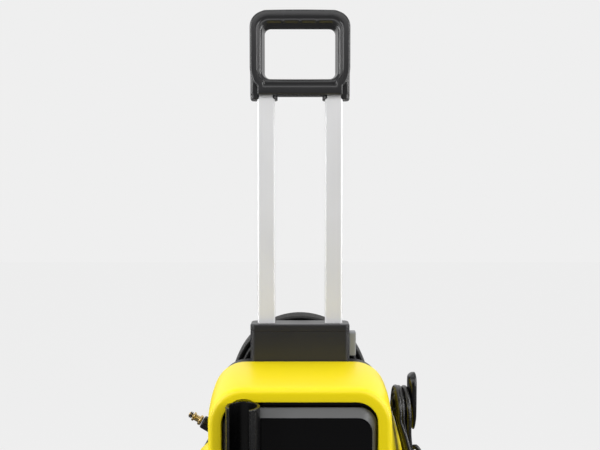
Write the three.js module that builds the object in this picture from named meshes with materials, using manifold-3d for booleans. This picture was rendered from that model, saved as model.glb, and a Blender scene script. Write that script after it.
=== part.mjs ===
// Pressure washer on two wheels with a telescopic handle. Millimetres, +Z up, +X to the right.
// The front faces -Y. The origin is on the floor, midway between the wheels. The handle is drawn out.

import * as THREE from 'three';
import { mergeVertices } from 'three/addons/utils/BufferGeometryUtils.js';
import Module from 'manifold-3d';

const wasm = await Module();
wasm.setup();

// ---- Driving dimensions ------------------------------------------------------------------------

const GAP = 0.3; // between pieces that touch
const SLIDE = 0.4; // between a moving piece and its guide
const SLICES = 28; // sides of a large round piece
const INNER_SLICES = 20; // sides of a round piece inside the housing

// Wheels and axle
const WHEEL_RADIUS = 75;
const WHEEL_WIDTH = 40;
const WHEEL_TO_BODY = 8.5;
const RIM_RADIUS = 60;
const AXLE_RADIUS = 5;
const HUB_RADIUS = 14;
const CAP_RADIUS = 20;

// Base and hood
const BODY_WIDTH = 300;
const BASE_TOP = 118;
const BASE_BOTTOM = 18;
const WALL = 4;
const TOE_LENGTH = 58;
const TOE_DROP = 56;
const HOOD_TOP = 402;
const HOOD_TOP_FALL = 8; // the top is this much lower at the front
const HOOD_SIDE_FALL = 6; // how much narrower each side is at the front face
const HOOD_WALL = 3;
const HOOD_EDGE = 6; // softened front edge
const HOOD_CORNER = 46;
const FLARE = 25; // the lower sides stand out by this much
const FLARE_BEGIN = 20; // behind the front face, where the flare begins
const FLARE_RUN = 95; // behind the front face, where the flare is complete
const FLARE_START_RIGHT = 355;
const FLARE_END_RIGHT = 240;
const FLARE_START_LEFT = 290;
const FLARE_END_LEFT = 262;
const ARCH_BAND = 17.5;
const LIP_DEPTH = 16;
const LIP_WALL = 2.5;
const PANEL_BEVEL = 6.5;

// Handle column, rods and handle
const COLUMN_FRONT = 22;
const COLUMN_WIDTH = 146;
const COLUMN_DEPTH = 36;
const COLUMN_RISE = 54; // above the hood
const COLUMN_CORNER = 7;
const CAP_HEIGHT = 10;
const COLUMN_FLOOR_GAP = 38;
const ROD_WIDTH = 25.6;
const ROD_DEPTH = 14;
const ROD_WALL = 1.6;
const ROD_SPACING = 99.6;
const ROD_OVERLAP = 56; // left in the column when drawn out
const ROD_GUIDE = 12;
const HANDLE_DEPTH = 33;
const HANDLE_FRONT = 9; // depth of the front shell
const HANDLE_HEIGHT = 122.5;
const HANDLE_BAR = 23;
const HANDLE_RIM = 21;
const HANDLE_TOP_BAR = 25;
const EAR_DROP = 5.5;
const EAR_TO_COLUMN = 1; // left when the handle is pushed in
const BUTTON_HEIGHT = 36;
const BUTTON_DEPTH = 16;
const BUTTON_STAND = 9.7;
const BUTTON_TRAVEL = 4.5;

// Lance holder and switch
const TUBE_RADIUS = 22;
const TUBE_WALL = 4;
const TUBE_STAND = 13; // its axis stands this far in front of the hood
const KNOB_RADIUS = 27;
const BEZEL_RADIUS = 34;
const KNOB_HEIGHT = 185;

// Motor and pump
const MOTOR_RADIUS = 52;
const AIR_GAP = 0.6;
const ROTOR_RADIUS = 30;
const SHAFT_RADIUS = 6;
const FAN_HEIGHT = 14;
const BRACKET = 10;
const PUMP_RADIUS = 44;
const PUMP_BOTTOM = 62;
const HEAD_HEIGHT = 22;
const PUMP_HEIGHT = 36;
const PISTON_RADIUS = 7;
const PISTON_CIRCLE = 24;
const PISTON_STROKE = 8;
const SWASH_HEIGHT = 22;

// Hose, cable and their hooks
const HOSE_DIAMETER = 9;
const COIL_RADIUS = 106;
const COIL_LAYERS = 3;
const COIL_COLUMNS = 4;
const COIL_DROP = 48; // the coil's centre is this far below the hood's top
const CABLE_DIAMETER = 7.2;
const HOOK_POST = 6;
const HOOK_REACH = 28; // from the hood's shoulder to the paddle
const PADDLE_THICK = 11.5;
const PADDLE_HEIGHT = 81;
const PADDLE_WIDTH = 33;
const LOWER_HOOK_RISE = 17; // above the base
const HANK_BEND = 18.4; // inside radius of the wound loops, which are too stiff to hug the posts
const HANK_DEPTH = 18; // of the cable's layers
const HANK_SWELL = 22; // the loops spread outward by this much below the upper hook

// ---- Places worked out from them -----------------------------------------------------------------

const bodyHalf = BODY_WIDTH / 2;
const wheelInner = bodyHalf + WHEEL_TO_BODY;
const wheelOuter = wheelInner + WHEEL_WIDTH;
const columnBack = COLUMN_FRONT + COLUMN_DEPTH;
const rodY = COLUMN_FRONT + COLUMN_DEPTH / 2;
const hoodRear = COLUMN_FRONT - 2;
const motorY = COLUMN_FRONT - MOTOR_RADIUS - 4;
const hoodFront = motorY - MOTOR_RADIUS - 9;
const toeY = hoodFront - TOE_LENGTH;
const housingRear = columnBack + 8;
const axleY = columnBack + 20;
const baseRear = axleY + 26;
const shoulder = bodyHalf - FLARE;
const hoodBottom = BASE_TOP + GAP;
const archHalf = shoulder - HOOD_EDGE - ARCH_BAND;
const archTop = HOOD_TOP - HOOD_TOP_FALL - ARCH_BAND;
const archCorner = HOOD_CORNER - ARCH_BAND;
const columnTop = HOOD_TOP + COLUMN_RISE;
const columnFoot = BASE_BOTTOM + WALL + COLUMN_FLOOR_GAP;
const rodBottom = columnTop - ROD_OVERLAP;
const travel = rodBottom - ROD_GUIDE - columnFoot;
const earBottom = columnTop + EAR_TO_COLUMN + travel;
const barBottom = earBottom + EAR_DROP;
const handleTop = barBottom + HANDLE_HEIGHT;
const handleFront = rodY - HANDLE_DEPTH / 2;
const handleSplit = handleFront + HANDLE_FRONT;
const rodTop = barBottom + HANDLE_BAR - 6;
const coilCentre = HOOD_TOP - COIL_DROP;
const coilInner = COIL_RADIUS - COIL_LAYERS * HOSE_DIAMETER;
const coilFront = housingRear + 10;
const coilBack = coilFront + COIL_COLUMNS * HOSE_DIAMETER;
const tubeX = -(archHalf - TUBE_RADIUS - 7);
const tubeY = hoodFront - TUBE_STAND;
const tubeTop = archTop;
const hookHeight = HOOD_TOP - 55;
const hookY = -8;
const lowerHookHeight = BASE_TOP + LOWER_HOOK_RISE;
const hankTop = hookHeight + HOOK_POST + SLIDE - HANK_BEND;
const hankBottom = lowerHookHeight - HOOK_POST - SLIDE + HANK_BEND;
const hankHeight = hankTop - hankBottom;
const hookX = shoulder + HOOK_REACH;
const buttonHeight = columnTop - 31;
const pumpHeadTop = PUMP_BOTTOM + HEAD_HEIGHT;
const pumpTop = pumpHeadTop + GAP + PUMP_HEIGHT;
const swashBottom = pumpTop + 12;
const motorBottom = swashBottom + SWASH_HEIGHT + 4;
const fanTop = HOOD_TOP - HOOD_TOP_FALL - HOOD_WALL - 30;
const motorTop = fanTop - FAN_HEIGHT - 6;

// ---- Materials -----------------------------------------------------------------------------------

const finish = (color, roughness, metalness = 0) =>
  new THREE.MeshStandardMaterial({ color, roughness, metalness });
const yellow = () => finish(0xf2e13b, 0.35);
const black = () => finish(0x2b2c2e, 0.5);
const gloss = () => finish(0x0e0f10, 0.15);
const grey = () => finish(0x808488, 0.45);
const dark = () => finish(0x3c3e41, 0.45);
const alu = () => finish(0xd2d4d6, 0.3, 1);
const steel = () => finish(0xa9adb1, 0.35, 1);
const brass = () => finish(0xb9a377, 0.3, 1);
const rubber = () => finish(0x1c1d1e, 0.8);
const copper = () => finish(0xa8683c, 0.4, 1);

const washer = new THREE.Group();

function add(name, geometry, material) {
  const mesh = new THREE.Mesh(geometry, material);
  mesh.name = name;
  washer.add(mesh);
}

// ---- Shape helpers -------------------------------------------------------------------------------

function toSolid(geometry) {
  const bare = geometry.clone();
  bare.deleteAttribute('normal');
  bare.deleteAttribute('uv');
  const merged = mergeVertices(bare, 1e-4);
  return new wasm.Manifold(
    new wasm.Mesh({
      numProp: 3,
      vertProperties: merged.attributes.position.array,
      triVerts: new Uint32Array(merged.index.array),
    }),
  );
}

function toGeometry(solid) {
  const mesh = solid.getMesh();
  const geometry = new THREE.BufferGeometry();
  geometry.setAttribute('position', new THREE.BufferAttribute(mesh.vertProperties, 3));
  geometry.setIndex(new THREE.BufferAttribute(mesh.triVerts, 1));
  geometry.computeVertexNormals();
  return geometry;
}

function cut(geometry, ...tools) {
  let solid = toSolid(geometry);
  for (const tool of tools) {
    solid = solid.subtract(toSolid(tool));
  }
  return toGeometry(solid);
}

function join(...geometries) {
  let solid = toSolid(geometries[0]);
  for (const other of geometries.slice(1)) {
    solid = solid.add(toSolid(other));
  }
  return toGeometry(solid);
}

function box(x0, x1, y0, y1, z0, z1) {
  const geometry = new THREE.BoxGeometry(x1 - x0, y1 - y0, z1 - z0);
  return geometry.translate((x0 + x1) / 2, (y0 + y1) / 2, (z0 + z1) / 2);
}

// A turned piece about an upright axis: points are [radius, height] pairs, from bottom to top.
function turned(points, slices = SLICES) {
  const profile = points.map(([radius, height]) => new THREE.Vector2(radius, height));
  return new THREE.LatheGeometry(profile, slices).rotateX(Math.PI / 2);
}

function disc(radius, low, high, slices = SLICES) {
  return turned([[0, low], [radius, low], [radius, high], [0, high]], slices);
}

function ring(outer, inner, low, high, slices = SLICES) {
  return turned([[inner, low], [outer, low], [outer, high], [inner, high], [inner, low]], slices);
}

// Lay a piece that was turned about Z along +X or along +Y, about a point.
const alongX = (geometry, y, z) => geometry.rotateY(Math.PI / 2).translate(0, y, z);
const alongY = (geometry, x, z) => geometry.rotateX(-Math.PI / 2).translate(x, 0, z);

function roundedRect(x0, x1, y0, y1, radius) {
  const shape = new THREE.Shape();
  shape.moveTo(x0 + radius, y0);
  shape.lineTo(x1 - radius, y0);
  shape.absarc(x1 - radius, y0 + radius, radius, -Math.PI / 2, 0);
  shape.lineTo(x1, y1 - radius);
  shape.absarc(x1 - radius, y1 - radius, radius, 0, Math.PI / 2);
  shape.lineTo(x0 + radius, y1);
  shape.absarc(x0 + radius, y1 - radius, radius, Math.PI / 2, Math.PI);
  shape.lineTo(x0, y0 + radius);
  shape.absarc(x0 + radius, y0 + radius, radius, Math.PI, Math.PI * 1.5);
  return shape;
}

function prism(shape, low, high, segments = 4) {
  const options = { depth: high - low, bevelEnabled: false, curveSegments: segments };
  return new THREE.ExtrudeGeometry(shape, options).translate(0, 0, low);
}

// A prism of an outline in X and Z, from front to back.
function frontPrism(shape, front, back, segments = 4) {
  return prism(shape, -back, -front, segments).rotateX(Math.PI / 2);
}

// A prism of an outline in Y and Z, from left to right.
function sidePrism(shape, left, right, segments = 8) {
  const geometry = prism(shape, left, right, segments);
  const swap = new THREE.Matrix4().makeBasis(
    new THREE.Vector3(0, 1, 0),
    new THREE.Vector3(0, 0, 1),
    new THREE.Vector3(1, 0, 0),
  );
  return geometry.applyMatrix4(swap);
}

// A closed skin over equal rings of [x, z] points, one ring for each depth y.
function loft(rings, depths) {
  const count = rings[0].length;
  const positions = [];
  const index = [];
  rings.forEach((points, i) => points.forEach(([x, z]) => positions.push(x, depths[i], z)));
  for (let i = 0; i + 1 < rings.length; i += 1) {
    for (let j = 0; j < count; j += 1) {
      const a = i * count + j;
      const b = i * count + ((j + 1) % count);
      index.push(a, a + count, b, b, a + count, b + count);
    }
  }
  const flat = rings[0].map(([x, z]) => new THREE.Vector2(x, z));
  const lid = THREE.ShapeUtils.triangulateShape(flat, []);
  const last = (rings.length - 1) * count;
  for (const [a, b, c] of lid) {
    index.push(a, b, c);
    index.push(last + a, last + c, last + b);
  }
  const geometry = new THREE.BufferGeometry();
  geometry.setAttribute('position', new THREE.Float32BufferAttribute(positions, 3));
  geometry.setIndex(index);
  return geometry;
}

// A tube along a free route.
function hose(points, diameter, steps) {
  const path = new THREE.CatmullRomCurve3(points.map((point) => new THREE.Vector3(...point)));
  const section = new THREE.Shape();
  section.absarc(0, 0, diameter / 2, 0, Math.PI * 2);
  const options = { steps, extrudePath: path, curveSegments: 4, bevelEnabled: false };
  return new THREE.ExtrudeGeometry(section, options);
}

// ---- Wheels --------------------------------------------------------------------------------------

// One wheel, laid out for the right side. Returns where the axle ends.
function wheel(side, name) {
  const turn = side > 0 ? 0 : Math.PI;
  const place = (geometry) => alongX(geometry, 0, WHEEL_RADIUS).rotateZ(turn).translate(0, axleY, 0);
  const inner = wheelInner + 1.5;
  const outer = wheelOuter - 1.5;
  const crown = 5;
  const tyre = turned([
    [RIM_RADIUS, inner],
    [WHEEL_RADIUS - crown, inner],
    [WHEEL_RADIUS, inner + crown],
    [WHEEL_RADIUS, outer - crown],
    [WHEEL_RADIUS - crown, outer],
    [RIM_RADIUS, outer],
    [RIM_RADIUS, inner],
  ]);
  add(`wheel_tyre_${name}`, place(tyre), rubber());

  const rim = RIM_RADIUS - GAP;
  const web = (inner + outer) / 2;
  const boss = wheelOuter - 12;
  const bore = AXLE_RADIUS + SLIDE;
  const hub = turned([
    [bore, wheelInner],
    [HUB_RADIUS, wheelInner],
    [HUB_RADIUS, web - 3],
    [rim - 5, web - 3],
    [rim - 5, inner + 1],
    [rim, inner + 1],
    [rim, outer - 1],
    [rim - 5, outer - 1],
    [rim - 5, web + 3],
    [CAP_RADIUS + 4, web + 3],
    [CAP_RADIUS + 4, outer - 2],
    [CAP_RADIUS + 1, outer - 2],
    [CAP_RADIUS + 1, boss],
    [bore, boss],
    [bore, wheelInner],
  ]);
  const windows = [];
  for (let i = 0; i < 5; i += 1) {
    const angle = (i * Math.PI) / 2.5;
    const hole = disc(11, web - 8, web + 8, 10);
    windows.push(hole.translate(40 * Math.cos(angle), 40 * Math.sin(angle), 0));
  }
  add(`wheel_hub_${name}`, place(cut(hub, ...windows)), dark());

  const capWall = 2.5;
  const cap = turned([
    [0, wheelOuter - capWall],
    [CAP_RADIUS - capWall, wheelOuter - capWall],
    [CAP_RADIUS - capWall, boss + GAP],
    [CAP_RADIUS, boss + GAP],
    [CAP_RADIUS, wheelOuter - 1],
    [CAP_RADIUS - 1, wheelOuter],
    [0, wheelOuter],
  ]);
  add(`hub_cap_${name}`, place(cap), black());

  const clip = ring(AXLE_RADIUS + 5, AXLE_RADIUS + GAP, boss + GAP, boss + 2.5, 16);
  add(`axle_clip_${name}`, place(clip), steel());
  return boss + 4;
}

const axleEnd = wheel(1, 'right');
wheel(-1, 'left');
add('axle', alongX(disc(AXLE_RADIUS, -axleEnd, axleEnd, 16), axleY, WHEEL_RADIUS), steel());

// ---- Base tray -----------------------------------------------------------------------------------

// A wedge of everything above the sloping toe, lowered by a distance.
function aboveToe(lower) {
  const slope = new THREE.Shape();
  slope.moveTo(toeY - 20, BASE_TOP - TOE_DROP - 20 * (TOE_DROP / (TOE_LENGTH - 2)) - lower);
  slope.lineTo(hoodFront - 2, BASE_TOP - lower);
  slope.lineTo(hoodFront - 2, BASE_TOP + 60);
  slope.lineTo(toeY - 20, BASE_TOP + 60);
  return sidePrism(slope, -bodyHalf - 10, bodyHalf + 10);
}

{
  const outline = roundedRect(-bodyHalf, bodyHalf, toeY, baseRear, 22);
  const outer = cut(prism(outline, BASE_BOTTOM, BASE_TOP), aboveToe(0));
  const inside = roundedRect(-bodyHalf + WALL, bodyHalf - WALL, toeY + WALL, columnBack + 4, 18);
  const hollow = cut(prism(inside, BASE_BOTTOM + WALL, BASE_TOP + 1), aboveToe(WALL + 1));
  const rear = box(
    -bodyHalf + WALL, bodyHalf - WALL, columnBack + 8, baseRear - WALL, BASE_BOTTOM - 1, BASE_TOP - WALL,
  );
  const bore = alongX(disc(AXLE_RADIUS + GAP, -bodyHalf - 1, bodyHalf + 1, 16), axleY, WHEEL_RADIUS);
  add('base_tray', cut(outer, hollow, rear, bore), black());
}

const footX = bodyHalf - 42;
const footY = toeY + 32;
for (const [side, name] of [[1, 'right'], [-1, 'left']]) {
  const foot = turned([[0, 0], [12, 0], [15, 4], [15, BASE_BOTTOM - GAP], [0, BASE_BOTTOM - GAP]], 20);
  add(`foot_${name}`, foot.translate(side * footX, footY, 0), rubber());
}

// ---- Hood, housing and panel ---------------------------------------------------------------------

function flare(z, start, end) {
  const share = THREE.MathUtils.clamp((start - z) / (start - end), 0, 1);
  return FLARE * Math.sin((share * Math.PI) / 2);
}

// The share of the flare at one depth: none at the front face, all of it further back.
function flareShare(y) {
  return THREE.MathUtils.smoothstep(y, hoodFront + FLARE_BEGIN, hoodFront + FLARE_RUN);
}

// How much of the taper toward the front face there is at one depth.
function taper(y) {
  const share = THREE.MathUtils.clamp((y - hoodFront) / (hoodRear - hoodFront), 0, 1);
  return (1 - share) ** 2;
}

const topAt = (y) => HOOD_TOP - HOOD_TOP_FALL * taper(y);

// The hood's outline in X and Z at one depth, drawn in by a distance.
function hoodOutline(y, inset, bottom) {
  const rows = 9;
  const arc = 6;
  const cornerZ = topAt(y) - HOOD_CORNER;
  const half = shoulder - HOOD_SIDE_FALL * taper(y) - inset;
  const radius = HOOD_CORNER - inset;
  const side = (start, end) => {
    const points = [];
    for (let i = 0; i <= rows; i += 1) {
      const z = bottom + ((cornerZ - bottom) * i) / rows;
      points.push([half + flareShare(y) * flare(z, start, end), z]);
    }
    for (let i = 1; i <= arc; i += 1) {
      const angle = (i * Math.PI) / 2 / arc;
      points.push([half - radius + radius * Math.cos(angle), cornerZ + radius * Math.sin(angle)]);
    }
    return points;
  };
  const right = side(FLARE_START_RIGHT, FLARE_END_RIGHT);
  const left = side(FLARE_START_LEFT, FLARE_END_LEFT).map(([x, z]) => [-x, z]);
  return [...right, ...left.reverse()];
}

function archShape(half, top, corner, bottom) {
  const shape = new THREE.Shape();
  shape.moveTo(-half, bottom);
  shape.lineTo(half, bottom);
  shape.lineTo(half, top - corner);
  shape.absarc(half - corner, top - corner, corner, 0, Math.PI / 2);
  shape.lineTo(-half + corner, top);
  shape.absarc(-half + corner, top - corner, corner, Math.PI / 2, Math.PI);
  return shape;
}

const archBottom = hoodBottom + GAP;
const tubeGroove = () => disc(TUBE_RADIUS + GAP, 60, tubeTop + 5).translate(tubeX, tubeY, 0);
{
  const begin = hoodFront + FLARE_BEGIN;
  const flared = hoodFront + FLARE_RUN;
  const middle = (begin + flared) / 2;
  const sides = [begin, middle, flared];
  const depths = [hoodFront, hoodFront + 1.8, hoodFront + HOOD_EDGE, ...sides, hoodRear];
  const insets = [HOOD_EDGE, 1.8, 0, 0, 0, 0, 0];
  const outer = loft(depths.map((y, i) => hoodOutline(y, insets[i], hoodBottom)), depths);
  const innerFront = hoodFront + HOOD_WALL;
  const innerDepths = [innerFront, innerFront + HOOD_EDGE, ...sides, hoodRear + 5];
  const innerInsets = [HOOD_EDGE + HOOD_WALL, HOOD_WALL, HOOD_WALL, HOOD_WALL, HOOD_WALL, HOOD_WALL];
  const inner = loft(
    innerDepths.map((y, i) => hoodOutline(y, innerInsets[i], hoodBottom - 5)),
    innerDepths,
  );
  const lipBack = hoodFront + LIP_DEPTH;
  const lip = frontPrism(
    archShape(archHalf + LIP_WALL, archTop + LIP_WALL, archCorner + LIP_WALL, hoodBottom),
    hoodFront + 1, lipBack, 6,
  );
  const opening = frontPrism(
    archShape(archHalf, archTop, archCorner, hoodBottom - 10),
    hoodFront - 5, lipBack + 5, 6,
  );
  add('front_hood', cut(join(cut(outer, inner), lip), opening, tubeGroove()), yellow());

  const rearIn = HOOD_WALL + 1;
  const rearDepths = [hoodRear + GAP, housingRear - 12, housingRear - 3, housingRear];
  const rearInsets = [rearIn, rearIn, rearIn + 3, rearIn + 12];
  const shell = loft(
    rearDepths.map((y, i) => hoodOutline(y, rearInsets[i], hoodBottom)),
    rearDepths,
  );
  const hollowDepths = [hoodRear - 5, housingRear - 12, housingRear - HOOD_WALL];
  const hollow = loft(
    hollowDepths.map((y, i) => hoodOutline(y, rearIn + HOOD_WALL + (i === 2 ? 4 : 0), hoodBottom - 5)),
    hollowDepths,
  );
  const slot = prism(
    roundedRect(
      -COLUMN_WIDTH / 2 - SLIDE, COLUMN_WIDTH / 2 + SLIDE,
      COLUMN_FRONT - SLIDE, columnBack + SLIDE, COLUMN_CORNER,
    ),
    HOOD_TOP - 40, HOOD_TOP + 5,
  );
  add('rear_housing', cut(shell, hollow, slot), black());
}

const panelBack = hoodFront + LIP_DEPTH;
const switchHole = alongY(disc(8, hoodFront - 20, panelBack + 20, 16), 0, KNOB_HEIGHT);
{
  const half = archHalf - GAP;
  const plate = frontPrism(
    archShape(half, archTop - GAP, archCorner - GAP, archBottom),
    panelBack - WALL, panelBack, 6,
  );
  const riseBack = panelBack - WALL + 1;
  const low = [];
  const high = [];
  const arcs = 6;
  const corner = archCorner - 3;
  for (const side of [1, -1]) {
    const edge = [];
    edge.push([side * half, archBottom, 0]);
    for (let i = 0; i <= arcs; i += 1) {
      const angle = (i * Math.PI) / 2 / arcs;
      const x = half - corner + corner * Math.cos(angle);
      const z = archTop - 10 - corner + corner * Math.sin(angle);
      edge.push([side * x, z, 1]);
    }
    const ordered = side > 0 ? edge : edge.reverse();
    for (const [x, z, moves] of ordered) {
      low.push([x, z]);
      high.push([x - Math.sign(x) * PANEL_BEVEL, z - moves * (PANEL_BEVEL + 2.5)]);
    }
  }
  const rise = loft([high, low], [hoodFront, riseBack]);
  const pocket = box(
    tubeX + TUBE_RADIUS + WALL, half - 14, hoodFront + WALL, panelBack + 5, archBottom + 8, archTop - 30,
  );
  add('front_panel', cut(join(plate, rise), pocket, tubeGroove(), switchHole), gloss());
}

// ---- Lance holder --------------------------------------------------------------------------------

{
  const slotFrom = THREE.MathUtils.degToRad(-90 - 60);
  const slotTo = THREE.MathUtils.degToRad(-90 + 27);
  const section = new THREE.Shape();
  section.absarc(0, 0, TUBE_RADIUS, slotTo, slotFrom + Math.PI * 2);
  section.absarc(0, 0, TUBE_RADIUS - TUBE_WALL, slotFrom + Math.PI * 2, slotTo, true);
  const wall = prism(section, BASE_TOP + 8, tubeTop, 11).translate(tubeX, tubeY, 0);
  const foot = disc(TUBE_RADIUS, BASE_TOP - TOE_DROP, BASE_TOP + 12).translate(tubeX, tubeY, 0);
  const under = cut(
    box(-bodyHalf, bodyHalf, toeY - 20, hoodFront + 20, 0, BASE_TOP + GAP),
    aboveToe(-GAP * 2),
  );
  add('lance_holder', cut(join(wall, foot), under), black());
}

// ---- Switch --------------------------------------------------------------------------------------

{
  const face = hoodFront - GAP;
  const knob = join(
    alongY(disc(KNOB_RADIUS, face - 9, face - GAP), 0, KNOB_HEIGHT),
    box(-6, 6, face - 20, face - 8, KNOB_HEIGHT - KNOB_RADIUS + 2, KNOB_HEIGHT + KNOB_RADIUS - 2),
    alongY(disc(5, face - 2, hoodFront + WALL + 2, 16), 0, KNOB_HEIGHT),
  );
  add('switch_knob', knob, dark());
  const bezel = ring(BEZEL_RADIUS, KNOB_RADIUS + 1, face - 7, face);
  add('switch_bezel', alongY(bezel, 0, KNOB_HEIGHT), black());
}

// ---- Column, rods and handle ---------------------------------------------------------------------

const rodX = [-ROD_SPACING / 2, ROD_SPACING / 2];
const rodShape = (x, grow, radius) =>
  roundedRect(
    x - ROD_WIDTH / 2 - grow, x + ROD_WIDTH / 2 + grow,
    rodY - ROD_DEPTH / 2 - grow, rodY + ROD_DEPTH / 2 + grow, radius,
  );
const buttonInner = COLUMN_WIDTH / 2 - BUTTON_TRAVEL;
{
  const half = COLUMN_WIDTH / 2;
  const outline = roundedRect(-half, half, COLUMN_FRONT, columnBack, COLUMN_CORNER);
  const channels = rodX.map((x) => prism(rodShape(x, SLIDE, 3), columnFoot - 5, columnTop + 5));
  const coreHalf = (ROD_SPACING - ROD_WIDTH) / 2 - 6;
  const core = box(
    -coreHalf, coreHalf, COLUMN_FRONT + WALL, columnBack - WALL, columnFoot - 5, buttonHeight - 40,
  );
  const button = box(
    buttonInner - BUTTON_TRAVEL - SLIDE, half + 5,
    rodY - BUTTON_DEPTH / 2 - SLIDE, rodY + BUTTON_DEPTH / 2 + SLIDE,
    buttonHeight - BUTTON_HEIGHT / 2 - SLIDE, buttonHeight + BUTTON_HEIGHT / 2 + SLIDE,
  );
  const barSlot = box(
    -half + 4, buttonInner + SLIDE, COLUMN_FRONT + 3, COLUMN_FRONT + 7,
    buttonHeight - 6 - SLIDE, buttonHeight + 6 + SLIDE,
  );
  const arm = box(
    buttonInner - BUTTON_TRAVEL - SLIDE, buttonInner + SLIDE, COLUMN_FRONT + 3, rodY,
    buttonHeight - 6 - SLIDE, buttonHeight + 6 + SLIDE,
  );
  const body = prism(outline, columnFoot, columnTop - CAP_HEIGHT - GAP);
  add('handle_column', cut(body, ...channels, core, button, barSlot, arm), dark());
  add('column_cap', cut(prism(outline, columnTop - CAP_HEIGHT, columnTop), ...channels), black());

  const press = box(
    buttonInner, half + BUTTON_STAND, rodY - BUTTON_DEPTH / 2, rodY + BUTTON_DEPTH / 2,
    buttonHeight - BUTTON_HEIGHT / 2, buttonHeight + BUTTON_HEIGHT / 2,
  );
  add('release_button', press, grey());
  const bar = box(
    -half + 4 + BUTTON_TRAVEL + SLIDE, buttonInner - GAP, COLUMN_FRONT + 3.5, COLUMN_FRONT + 6.5,
    buttonHeight - 6, buttonHeight + 6,
  );
  add('latch_bar', bar, steel());
}

rodX.forEach((x, i) => {
  const name = i === 0 ? 'left' : 'right';
  const tube = cut(
    prism(rodShape(x, 0, 3), rodBottom, rodTop),
    prism(rodShape(x, -ROD_WALL, 1.5), rodBottom - 1, rodTop + 1),
  );
  add(`rod_${name}`, tube, alu());
  const guide = prism(rodShape(x, SLIDE / 2, 3), rodBottom - ROD_GUIDE, rodBottom - GAP);
  add(`rod_guide_${name}`, guide, black());
});

{
  const half = COLUMN_WIDTH / 2;
  const corner = 24;
  const openHalf = half - HANDLE_RIM;
  const hole = roundedRect(
    -openHalf, openHalf, barBottom + HANDLE_BAR, handleTop - HANDLE_TOP_BAR, 9,
  );
  const neck = half - 11;
  const frontShape = new THREE.Shape();
  frontShape.moveTo(-neck, barBottom);
  frontShape.lineTo(neck, barBottom);
  frontShape.lineTo(neck, barBottom + 16);
  frontShape.quadraticCurveTo(half, barBottom + 22, half, barBottom + 40);
  frontShape.lineTo(half, handleTop - corner);
  frontShape.absarc(half - corner, handleTop - corner, corner, 0, Math.PI / 2);
  frontShape.lineTo(-half + corner, handleTop);
  frontShape.absarc(-half + corner, handleTop - corner, corner, Math.PI / 2, Math.PI);
  frontShape.lineTo(-half, barBottom + 40);
  frontShape.quadraticCurveTo(-half, barBottom + 22, -neck, barBottom + 16);
  const opening = frontPrism(hole, handleFront - 1, handleFront + HANDLE_DEPTH + 1, 5);
  const front = frontPrism(frontShape, handleFront, handleSplit - GAP, 6);
  add('handle_front_shell', cut(front, opening), dark());

  const ears = archShape(half, handleTop, corner, earBottom);
  const rear = frontPrism(ears, handleSplit, handleFront + HANDLE_DEPTH, 6);
  const middle = half - 40;
  const notch = box(
    -middle, middle, handleFront - 5, handleFront + HANDLE_DEPTH + 5, earBottom - 5, barBottom,
  );
  const sockets = rodX.map((x) => prism(rodShape(x, GAP, 3), earBottom - 5, rodTop + GAP));
  add('handle_rear_shell', cut(rear, opening, notch, ...sockets), dark());
}

// ---- Motor and pump ------------------------------------------------------------------------------

const upright = (geometry) => geometry.translate(0, motorY, 0);
{
  const low = motorBottom;
  const high = motorTop;
  const coreLow = low + BRACKET + GAP;
  const coreHigh = high - BRACKET - GAP;
  add('motor_stator', upright(ring(MOTOR_RADIUS, ROTOR_RADIUS + AIR_GAP, coreLow, coreHigh, INNER_SLICES)), steel());
  const rotor = ring(ROTOR_RADIUS, SHAFT_RADIUS + GAP, coreLow + 8, coreHigh - 8, INNER_SLICES);
  add('motor_rotor', upright(rotor), copper());
  const hole = SHAFT_RADIUS + SLIDE;
  add('bearing_bottom', upright(ring(MOTOR_RADIUS, hole, low, low + BRACKET, INNER_SLICES)), steel());
  add('bearing_top', upright(ring(MOTOR_RADIUS, hole, high - BRACKET, high, INNER_SLICES)), steel());
  const shaftTop = fanTop - 2;
  add('motor_shaft', upright(disc(SHAFT_RADIUS, swashBottom + SWASH_HEIGHT + GAP, shaftTop, 16)), steel());
  const fanLow = high + 4;
  const blades = [];
  for (let i = 0; i < 6; i += 1) {
    const blade = box(12, MOTOR_RADIUS - 11, -1.5, 1.5, fanLow, fanTop);
    blades.push(blade.rotateZ((i * Math.PI) / 3));
  }
  const fan = cut(join(disc(15, fanLow, fanTop, 20), ...blades), disc(SHAFT_RADIUS + GAP, fanLow - 1, shaftTop, 16));
  add('cooling_fan', upright(fan), black());

  const tilt = THREE.MathUtils.degToRad(9);
  const plate = disc(PISTON_CIRCLE + PISTON_RADIUS, -5, 5, 24).rotateX(tilt);
  const middle = swashBottom + 10;
  const swash = join(plate.translate(0, 0, middle), disc(14, middle, swashBottom + SWASH_HEIGHT, 20));
  add('swash_plate', upright(swash), steel());

  const bodyLow = pumpHeadTop + GAP;
  const bores = [];
  for (let i = 0; i < 3; i += 1) {
    const angle = (i * Math.PI * 2) / 3 + Math.PI / 6;
    const x = PISTON_CIRCLE * Math.cos(angle);
    const y = PISTON_CIRCLE * Math.sin(angle);
    bores.push(disc(PISTON_RADIUS + 0.1, bodyLow + 6, pumpTop + 5, 12).translate(x, y, 0));
    const piston = disc(PISTON_RADIUS, bodyLow + 6 + PISTON_STROKE + 1, swashBottom - 2, 12);
    add(`piston_${i + 1}`, upright(piston.translate(x, y, 0)), steel());
  }
  add('pump_body', upright(cut(disc(PUMP_RADIUS, bodyLow, pumpTop, INNER_SLICES), ...bores)), alu());
  const ports = [1, -1].map((side) =>
    alongX(disc(9, Math.min(0, side * (PUMP_RADIUS + 12)), Math.max(0, side * (PUMP_RADIUS + 12)), 16), 0,
      PUMP_BOTTOM + HEAD_HEIGHT / 2),
  );
  const head = join(disc(PUMP_RADIUS, PUMP_BOTTOM, pumpHeadTop, INNER_SLICES), ...ports);
  add('cylinder_head', upright(head), alu());
}

// ---- Water inlet and outlet ----------------------------------------------------------------------

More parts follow.
